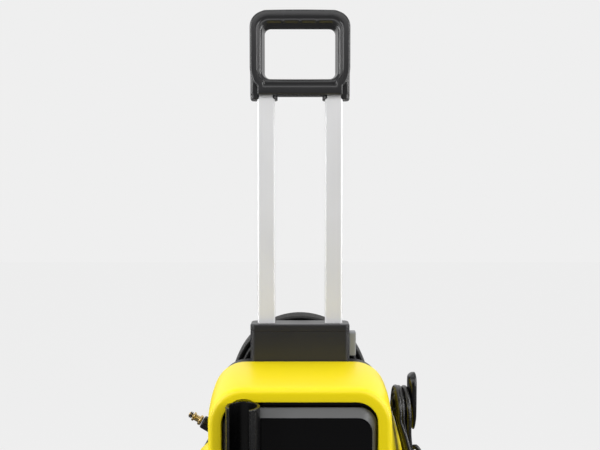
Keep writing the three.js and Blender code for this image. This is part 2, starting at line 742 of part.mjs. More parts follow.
const inletX = 95;
const outletX = -(COIL_RADIUS - HOSE_DIAMETER / 2);
const fittingZ = 150;
const riserY = coilFront + HOSE_DIAMETER / 2;
const riserBottom = fittingZ + 44;
{
  const stub = cut(
    join(
      alongY(disc(14, housingRear + GAP, housingRear + 6, 20), inletX, fittingZ),
      alongY(disc(10, housingRear + GAP, housingRear + 24, 20), inletX, fittingZ),
    ),
    alongY(disc(7, housingRear - 1, housingRear + 30, 20), inletX, fittingZ),
  );
  add('inlet_fitting', stub, black());
  const coupling = cut(
    join(
      alongY(disc(15, housingRear + 7, housingRear + 30, 20), inletX, fittingZ),
      alongY(disc(10, housingRear + 29, housingRear + 46, 20), inletX, fittingZ),
    ),
    alongY(disc(10 + GAP, housingRear + 5, housingRear + 24 + GAP, 20), inletX, fittingZ),
    alongY(disc(6, housingRear + 20, housingRear + 50, 20), inletX, fittingZ),
  );
  add('inlet_coupling', coupling, grey());

  const elbow = join(
    alongY(disc(9, housingRear + GAP, riserY, 20), outletX, fittingZ),
    disc(9, fittingZ - 9, fittingZ + 20, 20).translate(outletX, riserY, 0),
  );
  add('outlet_elbow', elbow, brass());
  const nut = ring(9.5, 5, fittingZ + 20 + GAP, riserBottom - GAP, 6).translate(outletX, riserY, 0);
  add('outlet_nut', cut(nut, disc(5, 0, 400, 16).translate(outletX, riserY, 0)), black());

  const portZ = PUMP_BOTTOM + HEAD_HEIGHT / 2;
  const portX = PUMP_RADIUS + 12 + GAP;
  const inner = housingRear - HOOD_WALL - GAP;
  const inletRun = [
    [portX, motorY, portZ], [portX + 20, motorY, portZ], [inletX - 2, motorY + 18, portZ + 4],
    [inletX, 10, 110], [inletX, 34, 142], [inletX, inner - 12, fittingZ], [inletX, inner, fittingZ],
  ];
  const outletRun = inletRun.map(([x, y, z], i) => [i < 2 ? -x : (x * outletX) / inletX, y, z]);
  add('inlet_pipe', hose(inletRun, 10, 12), rubber());
  add('outlet_pipe', hose(outletRun, 10, 12), rubber());
}

// ---- Hose: hook, coil, runs and free end ---------------------------------------------------------

{
  const saddleOuter = coilInner - GAP;
  const plateFront = housingRear + GAP;
  const lipBack = coilBack + 5;
  const arc = (outer, inner) => {
    const from = THREE.MathUtils.degToRad(15);
    const to = Math.PI - from;
    const shape = new THREE.Shape();
    shape.absarc(0, coilCentre, outer, from, to);
    shape.absarc(0, coilCentre, inner, to, from, true);
    return shape;
  };
  const saddle = frontPrism(arc(saddleOuter, saddleOuter - 5), plateFront, lipBack, 10);
  const lip = frontPrism(arc(saddleOuter + 16, saddleOuter - 5), coilBack + GAP, lipBack, 10);
  const plate = frontPrism(
    roundedRect(-50, 50, coilCentre - 10, coilCentre + saddleOuter - 30, 8), plateFront, plateFront + 4,
  );
  const web = frontPrism(
    roundedRect(-12, 12, coilCentre + 20, coilCentre + saddleOuter - 2, 3), plateFront, lipBack,
  );
  const flange = frontPrism(arc(saddleOuter, saddleOuter - 50), plateFront, plateFront + 4, 10);
  add('hose_hook', join(saddle, lip, plate, web, flange), black());

  const coil = ring(COIL_RADIUS, coilInner, coilFront, coilBack, 48);
  add('hose_coil', alongY(coil, 0, coilCentre), rubber());

  const riserTop = coilCentre - 46;
  const riser = [[outletX, riserY, riserBottom], [outletX, riserY, (riserBottom + riserTop) / 2], [outletX, riserY, riserTop]];
  add('hose_riser', hose(riser, HOSE_DIAMETER, 6), rubber());
}

// The free end comes off the coil low on the left and points out and up.
const END_TILT = THREE.MathUtils.degToRad(30);
const endPoint = [-134, 90, 279];
{
  const lastY = coilBack - HOSE_DIAMETER / 2;
  const tail = [
    [-16, lastY, 244], [-46, lastY, 244.6], [-73, lastY - 1, 248.6], [-96, lastY - 7, 257.2],
    [-116.7, 92.5, 269], endPoint,
  ];
  add('hose_tail', hose(tail, HOSE_DIAMETER, 8), rubber());
  const place = (geometry, from) =>
    geometry
      .translate(0, 0, from)
      .rotateY(-Math.PI / 2 + END_TILT)
      .translate(...endPoint);
  add('hose_collar', place(turned([[0, 0], [8, 0], [10, 4], [10, 22], [0, 22]], 20), 1), black());
  const nipple = turned(
    [[0, 0], [8, 0], [8, 5], [5, 5], [5, 13], [7, 13], [7, 16], [3.2, 16], [3.2, 23], [0, 23]], 20,
  );
  add('hose_nipple', place(nipple, 23 + GAP), brass());
  add('hose_o_ring', place(ring(5, 3.2 + GAP, 0, 6, 16), 23 + 16 + 2 * GAP), rubber());
}

// ---- Mains cable: hooks, wound hank, lead, gland and plug ------------------------------------------

const flareHalf = (z) => shoulder + flare(z, FLARE_START_RIGHT, FLARE_END_RIGHT);
const hookInner = flareHalf(hookHeight - HOOK_POST) + GAP;
function stadium(y, low, high, radius) {
  const shape = new THREE.Shape();
  shape.absarc(y, high, radius, 0, Math.PI);
  shape.absarc(y, low, radius, Math.PI, Math.PI * 2);
  return shape;
}

{
  const half = PADDLE_WIDTH / 2;
  const rise = 30.2;
  const paddle = new THREE.Shape();
  paddle.absarc(hookY, hookHeight + rise, half, 0, Math.PI);
  paddle.absarc(hookY, hookHeight + rise + half - PADDLE_HEIGHT + 12, 12, Math.PI, Math.PI * 2);
  const upper = join(
    sidePrism(paddle, hookX, hookX + PADDLE_THICK),
    alongX(disc(HOOK_POST, hookInner, hookX + 2, 20), hookY, hookHeight),
  );
  add('cable_hook_upper', upper, black());

  const lowInner = bodyHalf + 1;
  const lowX = lowInner + 28;
  const lower = join(
    sidePrism(stadium(hookY, lowerHookHeight - 26, lowerHookHeight, half - 3), lowX, lowX + 9),
    alongX(disc(HOOK_POST, lowInner, lowX + 2, 20), hookY, lowerHookHeight),
  );
  add('cable_hook_lower', lower, black());

  // The wound cable: loops round both posts, pushed outward by the hood's flare below.
  const innerX = (z) => Math.max(shoulder + 2.5, flareHalf(z) + 1.5);
  const swell = (z) => HANK_SWELL * THREE.MathUtils.clamp((hookHeight - 46 - z) / 60, 0, 1);
  const outerX = (z) => hookX - GAP + swell(z);
  const loop = [];
  const arcs = 8;
  const rows = 12;
  for (let i = 0; i <= arcs; i += 1) {
    loop.push([(i * Math.PI) / arcs, hankTop]);
  }
  for (let i = 1; i < rows; i += 1) {
    loop.push([Math.PI, hankTop - (hankHeight * i) / rows]);
  }
  for (let i = 0; i <= arcs; i += 1) {
    loop.push([Math.PI + (i * Math.PI) / arcs, hankBottom]);
  }
  for (let i = rows - 1; i > 0; i -= 1) {
    loop.push([0, hankTop - (hankHeight * i) / rows]);
  }
  const positions = [];
  const index = [];
  for (const [angle, z] of loop) {
    for (const radius of [HANK_BEND, HANK_BEND + HANK_DEPTH]) {
      const y = hookY + radius * Math.cos(angle);
      const height = z + radius * Math.sin(angle);
      positions.push(innerX(height), y, height, outerX(height), y, height);
    }
  }
  const count = loop.length;
  for (let i = 0; i < count; i += 1) {
    const a = i * 4;
    const b = ((i + 1) % count) * 4;
    for (const [p, q] of [[0, 1], [1, 3], [3, 2], [2, 0]]) {
      index.push(a + p, a + q, b + p, a + q, b + q, b + p);
    }
  }
  const hank = new THREE.BufferGeometry();
  hank.setAttribute('position', new THREE.Float32BufferAttribute(positions, 3));
  hank.setIndex(index);
  add('cable_hank', hank, rubber());

  const glandZ = 200;
  const glandY = 44;
  const wallX = bodyHalf - HOOD_WALL - 1 + GAP;
  const gland = turned([[0, wallX], [9, wallX], [9, wallX + 5], [5.5, wallX + 16], [0, wallX + 16]], 20);
  add('cable_gland', alongX(gland, glandY, glandZ), black());
  const start = wallX + 16 + 2 * GAP;
  const lead = [
    [start, 44, 200], [172, 44, 200], [181, 42, 206], [185.5, 36, 222], [185, 24, 243], [179, 13, 262],
  ];
  add('cable_lead', hose(lead, CABLE_DIAMETER, 8), rubber());
  const [plugX, plugY] = [168.7, -48];
  const tail = [[plugX, plugY, 172], [plugX, plugY, 150], [plugX, plugY, 128]];
  add('cable_tail', hose(tail, CABLE_DIAMETER, 5), rubber());
  const plug = join(
    turned([[0, 72], [15, 72], [18, 78], [18, 96], [8, 112], [5.5, 128 - GAP], [0, 128 - GAP]], 20),
    disc(2.4, 53, 73, 10).translate(0, 9.5, 0),
    disc(2.4, 53, 73, 10).translate(0, -9.5, 0),
  );
  add('mains_plug', plug.translate(plugX, plugY, 0), black());
}

export default washer;
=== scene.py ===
"""A pressure washer on two wheels with a telescopic handle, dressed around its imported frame.

Everything is in metres in the frame's own axes: +Z is up, +X is to the right, the front faces -Y.
"""

import logging
import math
from dataclasses import dataclass
from enum import Enum
from typing import Callable

import bmesh
import bpy
from mathutils import Matrix, Vector


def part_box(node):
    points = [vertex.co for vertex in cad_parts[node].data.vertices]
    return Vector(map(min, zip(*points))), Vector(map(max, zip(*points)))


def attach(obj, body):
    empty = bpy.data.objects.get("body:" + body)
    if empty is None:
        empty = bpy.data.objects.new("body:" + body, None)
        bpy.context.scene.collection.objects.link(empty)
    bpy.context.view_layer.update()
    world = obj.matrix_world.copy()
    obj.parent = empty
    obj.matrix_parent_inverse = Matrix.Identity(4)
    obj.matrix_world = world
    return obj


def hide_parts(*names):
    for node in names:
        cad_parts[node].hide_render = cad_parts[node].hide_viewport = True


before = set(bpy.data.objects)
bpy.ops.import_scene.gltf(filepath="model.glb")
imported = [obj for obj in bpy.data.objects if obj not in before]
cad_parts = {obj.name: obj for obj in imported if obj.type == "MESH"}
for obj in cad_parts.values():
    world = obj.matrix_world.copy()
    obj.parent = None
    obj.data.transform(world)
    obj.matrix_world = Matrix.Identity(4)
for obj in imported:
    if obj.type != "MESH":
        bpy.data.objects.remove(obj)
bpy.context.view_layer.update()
log = logging.getLogger("washer")

Flat = list[tuple[float, float]]
Point = tuple[float, float, float]
Piece = bpy.types.Object


# ---- Mesh making ---------------------------------------------------------------------------------


class Plane(Enum):
    """The plane that an outline is drawn in. It is pulled along the axis that is left."""

    TOP = "XY"
    FRONT = "XZ"
    SIDE = "YZ"

    def lift(self, u: float, v: float, w: float) -> Point:
        """A point u, v of the outline, w along the axis that is left."""
        if self is Plane.TOP:
            return (u, v, w)
        return (u, w, v) if self is Plane.FRONT else (w, u, v)


def mesh_piece(name: str, points: list[Point], faces: list[tuple[int, ...]]) -> Piece:
    """A clean mesh object with its faces pointing out.

    Args:
        name: Name of the piece.
        points: Its vertices.
        faces: Its faces, as indices of the vertices.

    Returns:
        The new object, linked to the scene.
    """
    mesh = bpy.data.meshes.new(name)
    mesh.from_pydata([tuple(point) for point in points], [], faces)
    shape = bmesh.new()
    shape.from_mesh(mesh)
    bmesh.ops.remove_doubles(shape, verts=shape.verts, dist=1e-6)
    bmesh.ops.recalc_face_normals(shape, faces=shape.faces)
    shape.to_mesh(mesh)
    shape.free()
    piece = bpy.data.objects.new(name, mesh)
    bpy.context.scene.collection.objects.link(piece)
    return piece


def skin(name: str, rings: list[list[Point]], closed: bool = False) -> Piece:
    """Faces between equal closed rings of points.

    Args:
        name: Name of the piece.
        rings: Rings with the same number of points.
        closed: Whether the last ring meets the first. Otherwise both ends get a lid.

    Returns:
        The new object.
    """
    count = len(rings[0])
    points = [point for ring in rings for point in ring]
    faces: list[tuple[int, ...]] = []
    spans = len(rings) if closed else len(rings) - 1
    for i in range(spans):
        start, after = i * count, ((i + 1) % len(rings)) * count
        for j in range(count):
            k = (j + 1) % count
            faces.append((start + j, start + k, after + k, after + j))
    if not closed:
        faces.append(tuple(reversed(range(count))))
        faces.append(tuple(range((len(rings) - 1) * count, len(rings) * count)))
    return mesh_piece(name, points, faces)


def pull(name: str, outline: Flat, low: float, high: float, plane: Plane) -> Piece:
    """An outline pulled from low to high along the axis that its plane leaves."""
    return skin(name, [[plane.lift(u, v, w) for u, v in outline] for w in (low, high)])


def turn(name: str, profile: Flat, centre: Point, plane: Plane = Plane.TOP, steps: int = 48) -> Piece:
    """A turned piece.

    Args:
        name: Name of the piece.
        profile: Pairs of radius and place along the axis. It closes on itself.
        centre: A point on the axis, to which the places along it are added.
        plane: The plane across the axis.
        steps: Number of sides.

    Returns:
        The new object.
    """
    rings = []
    for i in range(steps):
        angle = math.tau * i / steps
        ring = [plane.lift(r * math.cos(angle), r * math.sin(angle), h) for r, h in profile]
        rings.append([tuple(Vector(point) + Vector(centre)) for point in ring])
    return skin(name, rings, closed=True)


def block(name: str, low: Point, high: Point) -> Piece:
    """A plain block, for cutting with."""
    outline = [(low[0], low[1]), (high[0], low[1]), (high[0], high[1]), (low[0], high[1])]
    return pull(name, outline, low[2], high[2], Plane.TOP)


def rod(name: str, radius: float, start: float, end: float, centre: Point, plane: Plane = Plane.TOP,
        steps: int = 48) -> Piece:
    """A plain round bar between two places along its axis."""
    return turn(name, [(0, start), (radius, start), (radius, end), (0, end)], centre, plane, steps)


def flutes(count: int, ring: float, radius: float, span: tuple[float, float], centre: Point,
           plane: Plane = Plane.TOP, steps: int = 12, phase: float = 0.0) -> list[Piece]:
    """Round bars spaced evenly on a ring, for cutting grooves along an axis.

    Args:
        count: How many there are.
        ring: Radius of the ring.
        radius: Radius of each bar.
        span: Their two ends along the axis.
        centre: A point on the axis.
        plane: The plane across the axis.
        steps: Number of sides of each bar.
        phase: Turn of the first bar, as a share of the spacing.

    Returns:
        The bars.
    """
    bars = []
    for i in range(count):
        angle = math.tau * (i + phase) / count
        aside = plane.lift(ring * math.cos(angle), ring * math.sin(angle), 0)
        bars.append(rod("flute", radius, *span, tuple(a + b for a, b in zip(centre, aside)), plane, steps))
    return bars


def sweep(name: str, loops: list[tuple[Flat, float]]) -> Piece:
    """A shell whose section runs through equal XZ outlines, each at its own depth."""
    stations = range(len(loops[0][0]))
    return skin(name, [[Plane.FRONT.lift(*outline[i], y) for outline, y in loops] for i in stations])


def bake(piece: Piece) -> Piece:
    """Apply every modifier of a piece to its mesh."""
    bpy.context.view_layer.update()
    graph = bpy.context.evaluated_depsgraph_get()
    mesh = bpy.data.meshes.new_from_object(piece.evaluated_get(graph), depsgraph=graph)
    piece.modifiers.clear()
    old = piece.data
    piece.data = mesh
    bpy.data.meshes.remove(old)
    return piece


def join(piece: Piece, *others: Piece, cut: bool = False) -> Piece:
    """Unite a piece with others, or cut them out of it. The others are used up."""
    for other in others:
        modifier = piece.modifiers.new("join", "BOOLEAN")
        modifier.operation = "DIFFERENCE" if cut else "UNION"
        modifier.solver = "EXACT"
        modifier.object = other
    bake(piece)
    for other in others:
        bpy.data.objects.remove(other)
    return piece


def carve(piece: Piece, *tools: Piece) -> Piece:
    """Cut the tools out of a piece. The tools are used up."""
    return join(piece, *tools, cut=True)


def merge(piece: Piece, *others: Piece) -> Piece:
    """Put separate solids that don't overlap into one piece."""
    shape = bmesh.new()
    for part in (piece, *others):
        shape.from_mesh(part.data)
    shape.to_mesh(piece.data)
    shape.free()
    for other in others:
        bpy.data.objects.remove(other)
    return piece


def soften(piece: Piece, width: float, segments: int = 3, angle: float = 32) -> Piece:
    """Round the edges that are sharper than an angle in degrees."""
    modifier = piece.modifiers.new("soften", "BEVEL")
    modifier.width = width
    modifier.segments = segments
    modifier.limit_method = "ANGLE"
    modifier.angle_limit = math.radians(angle)
    return bake(piece)


def shade(piece: Piece, angle: float = 40, weighted: bool = True) -> Piece:
    """Shade a piece smooth, apart from edges sharper than an angle in degrees."""
    piece.data.shade_smooth()
    piece.data.set_sharp_from_angle(angle=math.radians(angle))
    if not weighted:
        return piece
    modifier = piece.modifiers.new("normals", "WEIGHTED_NORMAL")
    modifier.keep_sharp = True
    return bake(piece)


def arc(x: float, y: float, radius: float, start: float, end: float, steps: int = 8) -> Flat:
    """Points on an arc about x, y, between two angles in degrees."""
    angles = [math.radians(start + (end - start) * i / steps) for i in range(steps + 1)]
    return [(x + radius * math.cos(a), y + radius * math.sin(a)) for a in angles]


def rounded(x0: float, x1: float, y0: float, y1: float, radius: float, steps: int = 8) -> Flat:
    """A rectangle with round corners, anticlockwise from its lower right corner."""
    return [
        *arc(x1 - radius, y0 + radius, radius, -90, 0, steps),
        *arc(x1 - radius, y1 - radius, radius, 0, 90, steps),
        *arc(x0 + radius, y1 - radius, radius, 90, 180, steps),
        *arc(x0 + radius, y0 + radius, radius, 180, 270, steps),
    ]


def line(a: tuple[float, float], b: tuple[float, float], count: int) -> Flat:
    """Points from a to b, without b."""
    return [(a[0] + (b[0] - a[0]) * i / count, a[1] + (b[1] - a[1]) * i / count) for i in range(count)]


def quarter(radius: float) -> Flat:
    """How far a rounded edge is in from its side and from its face, every 15 degrees."""
    angles = [math.radians(15 * i) for i in range(1, 7)]
    return [(radius * (1 - math.cos(a)), radius * (1 - math.sin(a))) for a in angles]


def clamp(value: float) -> float:
    """A value kept from 0 to 1."""
    return min(1.0, max(0.0, value))


def middle(low: Vector, high: Vector) -> tuple[float, float, float]:
    """The middle of a box."""
    return tuple((a + b) / 2 for a, b in zip(low, high))


def ease(low: float, high: float, value: float) -> float:
    """A smooth step from 0 at low to 1 at high."""
    share = clamp((value - low) / (high - low))
    return share * share * (3 - 2 * share)


def smooth_route(points: list[Point], step: float) -> list[Vector]:
    """Points a step apart on one smooth curve through a route.

    Args:
        points: The route's points.
        step: Spacing in metres.

    Returns:
        Points on the curve, with both ends kept.
    """
    knots = [Vector(point) for point in points]
    knots = [2 * knots[0] - knots[1], *knots, 2 * knots[-1] - knots[-2]]
    fine = []
    for a, b, c, d in zip(knots, knots[1:], knots[2:], knots[3:]):
        pieces = max(2, int((c - b).length / step) + 1)
        for i in range(pieces):
            t = i / pieces
            fine.append(0.5 * (2 * b + (c - a) * t + (2 * a - 5 * b + 4 * c - d) * t * t
                               + (3 * b - a - 3 * c + d) * t ** 3))
    fine.append(knots[-2])
    return fine


def cord_curve(name: str, points: list[Vector], diameter: float) -> tuple[Piece, float]:
    """A round cord as one open spline.

    Args:
        name: Name of the piece.
        points: Its centre line.
        diameter: Its diameter.

    Returns:
        The curve object and its length.
    """
    data = bpy.data.curves.new(name, "CURVE")
    data.dimensions = "3D"
    data.bevel_depth = diameter / 2
    data.bevel_resolution = 3
    data.use_fill_caps = True
    spline = data.splines.new("POLY")
    spline.points.add(len(points) - 1)
    for target, point in zip(spline.points, points):
        target.co = (*point, 1.0)
    spline.use_smooth = True
    piece = bpy.data.objects.new(name, data)
    bpy.context.scene.collection.objects.link(piece)
    length = sum((b - a).length for a, b in zip(points, points[1:]))
    return piece, length


# ---- Finishes ------------------------------------------------------------------------------------


def linear(value: float) -> float:
    """One sRGB channel, from 0 to 255, as linear light."""
    share = value / 255
    return share / 12.92 if share <= 0.04045 else ((share + 0.055) / 1.055) ** 2.4


def rgba(colour: tuple[int, int, int]) -> tuple[float, float, float, float]:
    """An sRGB colour as linear light with full alpha."""
    return (*(linear(channel) for channel in colour), 1.0)


class Nodes:
    """A node tree that is filled one node at a time."""

    def __init__(self, tree: bpy.types.NodeTree) -> None:
        """Start on an empty tree."""
        self.tree = tree
        tree.nodes.clear()

    def add(self, kind: str, inputs: dict | None = None, **settings) -> bpy.types.Node:
        """Place a node.

        Args:
            kind: Its Blender type.
            inputs: Values or sockets for its inputs, by name or number.
            settings: Its own properties.

        Returns:
            The node.
        """
        node = self.tree.nodes.new(kind)
        for key, value in settings.items():
            setattr(node, key, value)
        for key, value in (inputs or {}).items():
            if isinstance(value, bpy.types.NodeSocket):
                self.tree.links.new(value, node.inputs[key])
            else:
                node.inputs[key].default_value = value
        return node

    def math(self, operation: str, first, second=0.0, clamp: bool = False) -> bpy.types.NodeSocket:
        """The result of a math node."""
        node = self.add("ShaderNodeMath", {0: first, 1: second}, operation=operation, use_clamp=clamp)
        return node.outputs[0]

    def scale(self, value, low: float, high: float, to_low: float, to_high: float) -> bpy.types.NodeSocket:
        """A value mapped from one range to another, and kept in it."""
        ends = {"Value": value, "From Min": low, "From Max": high, "To Min": to_low, "To Max": to_high}
        return self.add("ShaderNodeMapRange", ends).outputs["Result"]

    def mix(self, share, first, second) -> bpy.types.NodeSocket:
        """A mix of two colours."""
        node = self.add("ShaderNodeMix", data_type="RGBA")
        for index, value in ((0, share), (6, first), (7, second)):
            if isinstance(value, bpy.types.NodeSocket):
                self.tree.links.new(value, node.inputs[index])
            else:
                node.inputs[index].default_value = value
        return node.outputs[2]


def effect(name: str, inputs: dict[str, float | None], output: str, fill: Callable) -> bpy.types.NodeTree:
    """A shader node group that is built once.

    Args:
        name: Name of the group.
        inputs: Its inputs with their defaults. None makes a vector input.
        output: Name of its one output.
        fill: Makes its nodes from the nodes and the group's inputs, and returns the output socket.

    Returns:
        The group.
    """
    if name in bpy.data.node_groups:
        return bpy.data.node_groups[name]
    group = bpy.data.node_groups.new(name, "ShaderNodeTree")
    for label, default in inputs.items():
        kind = "NodeSocketVector" if default is None else "NodeSocketFloat"
        socket = group.interface.new_socket(label, in_out="INPUT", socket_type=kind)
        if default is not None:
            socket.default_value = default
    group.interface.new_socket(output, in_out="OUTPUT", socket_type="NodeSocketFloat")
    nodes = Nodes(group)
    start = nodes.add("NodeGroupInput")
    result = fill(nodes, start.outputs)
    nodes.add("NodeGroupOutput", {output: result})
    return group


def moulded_grain(nodes: Nodes, given) -> bpy.types.NodeSocket:
    """Height of the fine spark-eroded grain of a moulding."""
    fine = nodes.add("ShaderNodeTexNoise", {"Vector": given["Vector"], "Scale": given["Scale"],
                                            "Detail": 3.0, "Roughness": 0.6})
    wide = nodes.math("MULTIPLY", given["Scale"], 0.45)
    cells = nodes.add("ShaderNodeTexVoronoi", {"Vector": given["Vector"], "Scale": wide})
    pits = nodes.scale(cells.outputs["Distance"], 0.0, 0.6, 0.0, 1.0)
    return nodes.math("ADD", nodes.math("MULTIPLY", fine.outputs["Fac"], 0.65),
                      nodes.math("MULTIPLY", pits, 0.35))


def worn_edge(nodes: Nodes, given) -> bpy.types.NodeSocket:
    """Mask of the edges that hands and transport have rubbed."""
    round_normal = nodes.add("ShaderNodeBevel", {"Radius": given["Radius"]}, samples=4)
    flat_normal = nodes.add("ShaderNodeNewGeometry")
    dot = nodes.add("ShaderNodeVectorMath", {0: round_normal.outputs[0], 1: flat_normal.outputs["Normal"]},
                    operation="DOT_PRODUCT")
    edge = nodes.scale(dot.outputs["Value"], 0.97, 0.80, 0.0, 1.0)
    patch = nodes.add("ShaderNodeTexNoise", {"Vector": given["Vector"], "Scale": 60.0, "Detail": 4.0})
    broken = nodes.scale(patch.outputs["Fac"], 0.40, 0.62, 0.2, 1.0)
    return nodes.math("MULTIPLY", nodes.math("MULTIPLY", edge, broken), given["Amount"], clamp=True)


def settled_dust(nodes: Nodes, given) -> bpy.types.NodeSocket:
    """Mask of the dust that settles on faces that look up."""
    normal = nodes.add("ShaderNodeNewGeometry").outputs["Normal"]
    height = nodes.add("ShaderNodeSeparateXYZ", {0: normal}).outputs["Z"]
    upward = nodes.scale(height, 0.2, 1.0, 0.0, 1.0)
    cloud = nodes.add("ShaderNodeTexNoise", {"Vector": given["Vector"], "Scale": 35.0, "Detail": 6.0,
                                             "Roughness": 0.7})
    patches = nodes.scale(cloud.outputs["Fac"], 0.35, 0.7, 0.1, 1.0)
    return nodes.math("MULTIPLY", nodes.math("MULTIPLY", upward, patches), given["Amount"], clamp=True)


def mottling(nodes: Nodes, given) -> bpy.types.NodeSocket:
    """Slow variation of colour and gloss over a surface, from 0 to 1."""
    slow = nodes.add("ShaderNodeTexNoise", {"Vector": given["Vector"], "Scale": given["Scale"],
                                            "Detail": 2.0, "Distortion": 0.4})
    return nodes.scale(slow.outputs["Fac"], 0.3, 0.7, 0.0, 1.0)


def drawn_lines(nodes: Nodes, given) -> bpy.types.NodeSocket:
    """Fine lines along Z that drawing or brushing leaves on metal."""
    stretch = nodes.add("ShaderNodeMapping", {"Vector": given["Vector"], "Scale": (1.0, 1.0, 0.012)})
    lines = nodes.add("ShaderNodeTexNoise", {"Vector": stretch.outputs[0], "Scale": given["Scale"],
                                             "Detail": 4.0, "Roughness": 0.65})
    return lines.outputs["Fac"]


@dataclass(frozen=True)
class Finish:
    """One finish: a colour, its gloss and the detail that the real surface has."""

    name: str
    slot: str
    colour: tuple[int, int, int]
    roughness: float
    metallic: float = 0.0
    specular: float = 0.5
    coat: float = 0.0
    grain: float = 0.00003
    grain_scale: float = 1500.0
    mottle: float = 0.05
    wear: float = 0.12
    worn_colour: tuple[int, int, int] = (150, 150, 150)
    dust: float = 0.04
    dust_colour: tuple[int, int, int] = (170, 165, 155)
    drawn: bool = False

    def material(self) -> bpy.types.Material:
        """The material, made on first use."""
        if self.name in bpy.data.materials:
            return bpy.data.materials[self.name]
        material = bpy.data.materials.new(self.name)
        material.use_nodes = True
        nodes = Nodes(material.node_tree)
        place = nodes.add("ShaderNodeTexCoord").outputs["Object"]
        slow = self._effect(nodes, "mottling", mottling, {"Scale": 9.0}, place)
        edge = self._effect(nodes, "worn_edge", worn_edge, {"Radius": 0.0007, "Amount": self.wear}, place)
        dust = self._effect(nodes, "settled_dust", settled_dust, {"Amount": self.dust}, place)
        fill = drawn_lines if self.drawn else moulded_grain
        height = self._effect(nodes, fill.__name__, fill, {"Scale": self.grain_scale}, place)

        base = rgba(self.colour)
        dark = tuple(channel * (1 - self.mottle) for channel in base[:3]) + (1.0,)
        light = tuple(min(1.0, channel * (1 + self.mottle)) for channel in base[:3]) + (1.0,)
        colour = nodes.mix(slow, dark, light)
        colour = nodes.mix(edge, colour, rgba(self.worn_colour))
        colour = nodes.mix(dust, colour, rgba(self.dust_colour))
        gloss = nodes.scale(slow, 0.0, 1.0, self.roughness * 0.92, min(1.0, self.roughness * 1.1))
        gloss = nodes.math("ADD", gloss, nodes.math("MULTIPLY", dust, 0.35), clamp=True)
        gloss = nodes.math("ADD", gloss, nodes.math("MULTIPLY", nodes.math("SUBTRACT", height, 0.5), 0.08),
                           clamp=True)
        bump = nodes.add("ShaderNodeBump", {"Strength": 0.6, "Distance": self.grain, "Height": height})
        shader = nodes.add("ShaderNodeBsdfPrincipled", {
            "Base Color": colour, "Roughness": gloss, "Metallic": self.metallic,
            "Specular IOR Level": self.specular, "Coat Weight": self.coat, "Coat Roughness": 0.12,
            "Normal": bump.outputs[0],
        })
        nodes.add("ShaderNodeOutputMaterial", {"Surface": shader.outputs[0]})
        return material

    @staticmethod
    def _effect(nodes: Nodes, name: str, fill: Callable, values: dict[str, float],
                place: bpy.types.NodeSocket) -> bpy.types.NodeSocket:
        """The output of a shared effect, with its own values in this material."""
        group = effect(name, {"Vector": None, **values}, "Value", fill)
        node = nodes.add("ShaderNodeGroup", node_tree=group)
        nodes.tree.links.new(place, node.inputs["Vector"])
        for label, value in values.items():
            node.inputs[label].default_value = value
        return node.outputs["Value"]

    def dress(self, piece: Piece) -> Piece:
        """Give a piece this finish and nothing else."""
        piece.data.materials.clear()
        piece.data.materials.append(self.material())
        return piece


YELLOW = Finish("yellow_moulding", "yellow_shell", (238, 216, 8), 0.36, specular=0.4, grain=0.000012,
                wear=0.06, worn_colour=(244, 228, 90), dust=0.01, mottle=0.012)
HOUSING = Finish("housing_plastic", "black_plastic", (30, 31, 32), 0.5, grain=0.00004)
GLOSS = Finish("gloss_panel", "gloss_black", (7, 7, 8), 0.12, specular=0.25, grain=0.000004, wear=0.03,
               dust=0.004)
# Painted reflection: this mid-grey stands in for the front softbox reflected in the black panel's bevel.
BEVEL_SHEEN = Finish("painted_bevel_sheen", "dark_grey", (84, 85, 86), 0.3, grain=0.000006, wear=0.03, dust=0.0)
TUBE = Finish("holder_plastic", "black_plastic", (11, 11, 12), 0.27, grain=0.000008, wear=0.05, dust=0.01)
COLUMN = Finish("column_plastic", "dark_grey", (41, 41, 44), 0.3, specular=0.32, grain=0.00001,
                wear=0.06, dust=0.01)
HANDLE = Finish("handle_plastic", "dark_grey", (42, 42, 43), 0.24, grain=0.000008, wear=0.06, dust=0.01)
BUTTON = Finish("button_plastic", "light_grey", (134, 136, 139), 0.42, grain=0.00002,
                worn_colour=(170, 170, 170))
DIAL = Finish("dial_plastic", "dark_grey", (62, 64, 67), 0.38, grain=0.00002)
HUB = Finish("hub_plastic", "dark_grey", (58, 60, 62), 0.45, grain=0.00003)
RODS = Finish("drawn_aluminium", "aluminium", (226, 226, 227), 0.4, metallic=0.25, grain=0.00001,
              grain_scale=900.0, wear=0.0, dust=0.0, mottle=0.015, drawn=True)
CASTING = Finish("cast_aluminium", "aluminium", (176, 178, 181), 0.48, metallic=1.0, grain=0.00012,
                 grain_scale=600.0)
STEEL = Finish("turned_steel", "steel", (170, 173, 177), 0.32, metallic=1.0, grain=0.00001, drawn=True)
LAMINATED = Finish("laminated_steel", "steel", (120, 123, 128), 0.42, metallic=1.0, grain=0.00006)
COPPER = Finish("copper_wire", "copper_winding", (178, 98, 52), 0.4, metallic=1.0, grain=0.0002,
                grain_scale=500.0)
BRASS = Finish("turned_brass", "brass", (214, 186, 128), 0.27, metallic=1.0, grain=0.00001,
               worn_colour=(235, 215, 170), dust=0.0)
TYRE = Finish("tyre_rubber", "tyre", (30, 30, 31), 0.78, grain=0.00012, grain_scale=700.0, dust=0.12)
RUBBER = Finish("seal_rubber", "rubber", (24, 24, 25), 0.6, grain=0.00006)
HOSE = Finish("hose_cover", "hose_rubber", (14, 14, 15), 0.42, grain=0.00004, grain_scale=900.0, wear=0.0)
FLEX = Finish("flex_cover", "cable_rubber", (14, 14, 15), 0.27, grain=0.00001, wear=0.0)


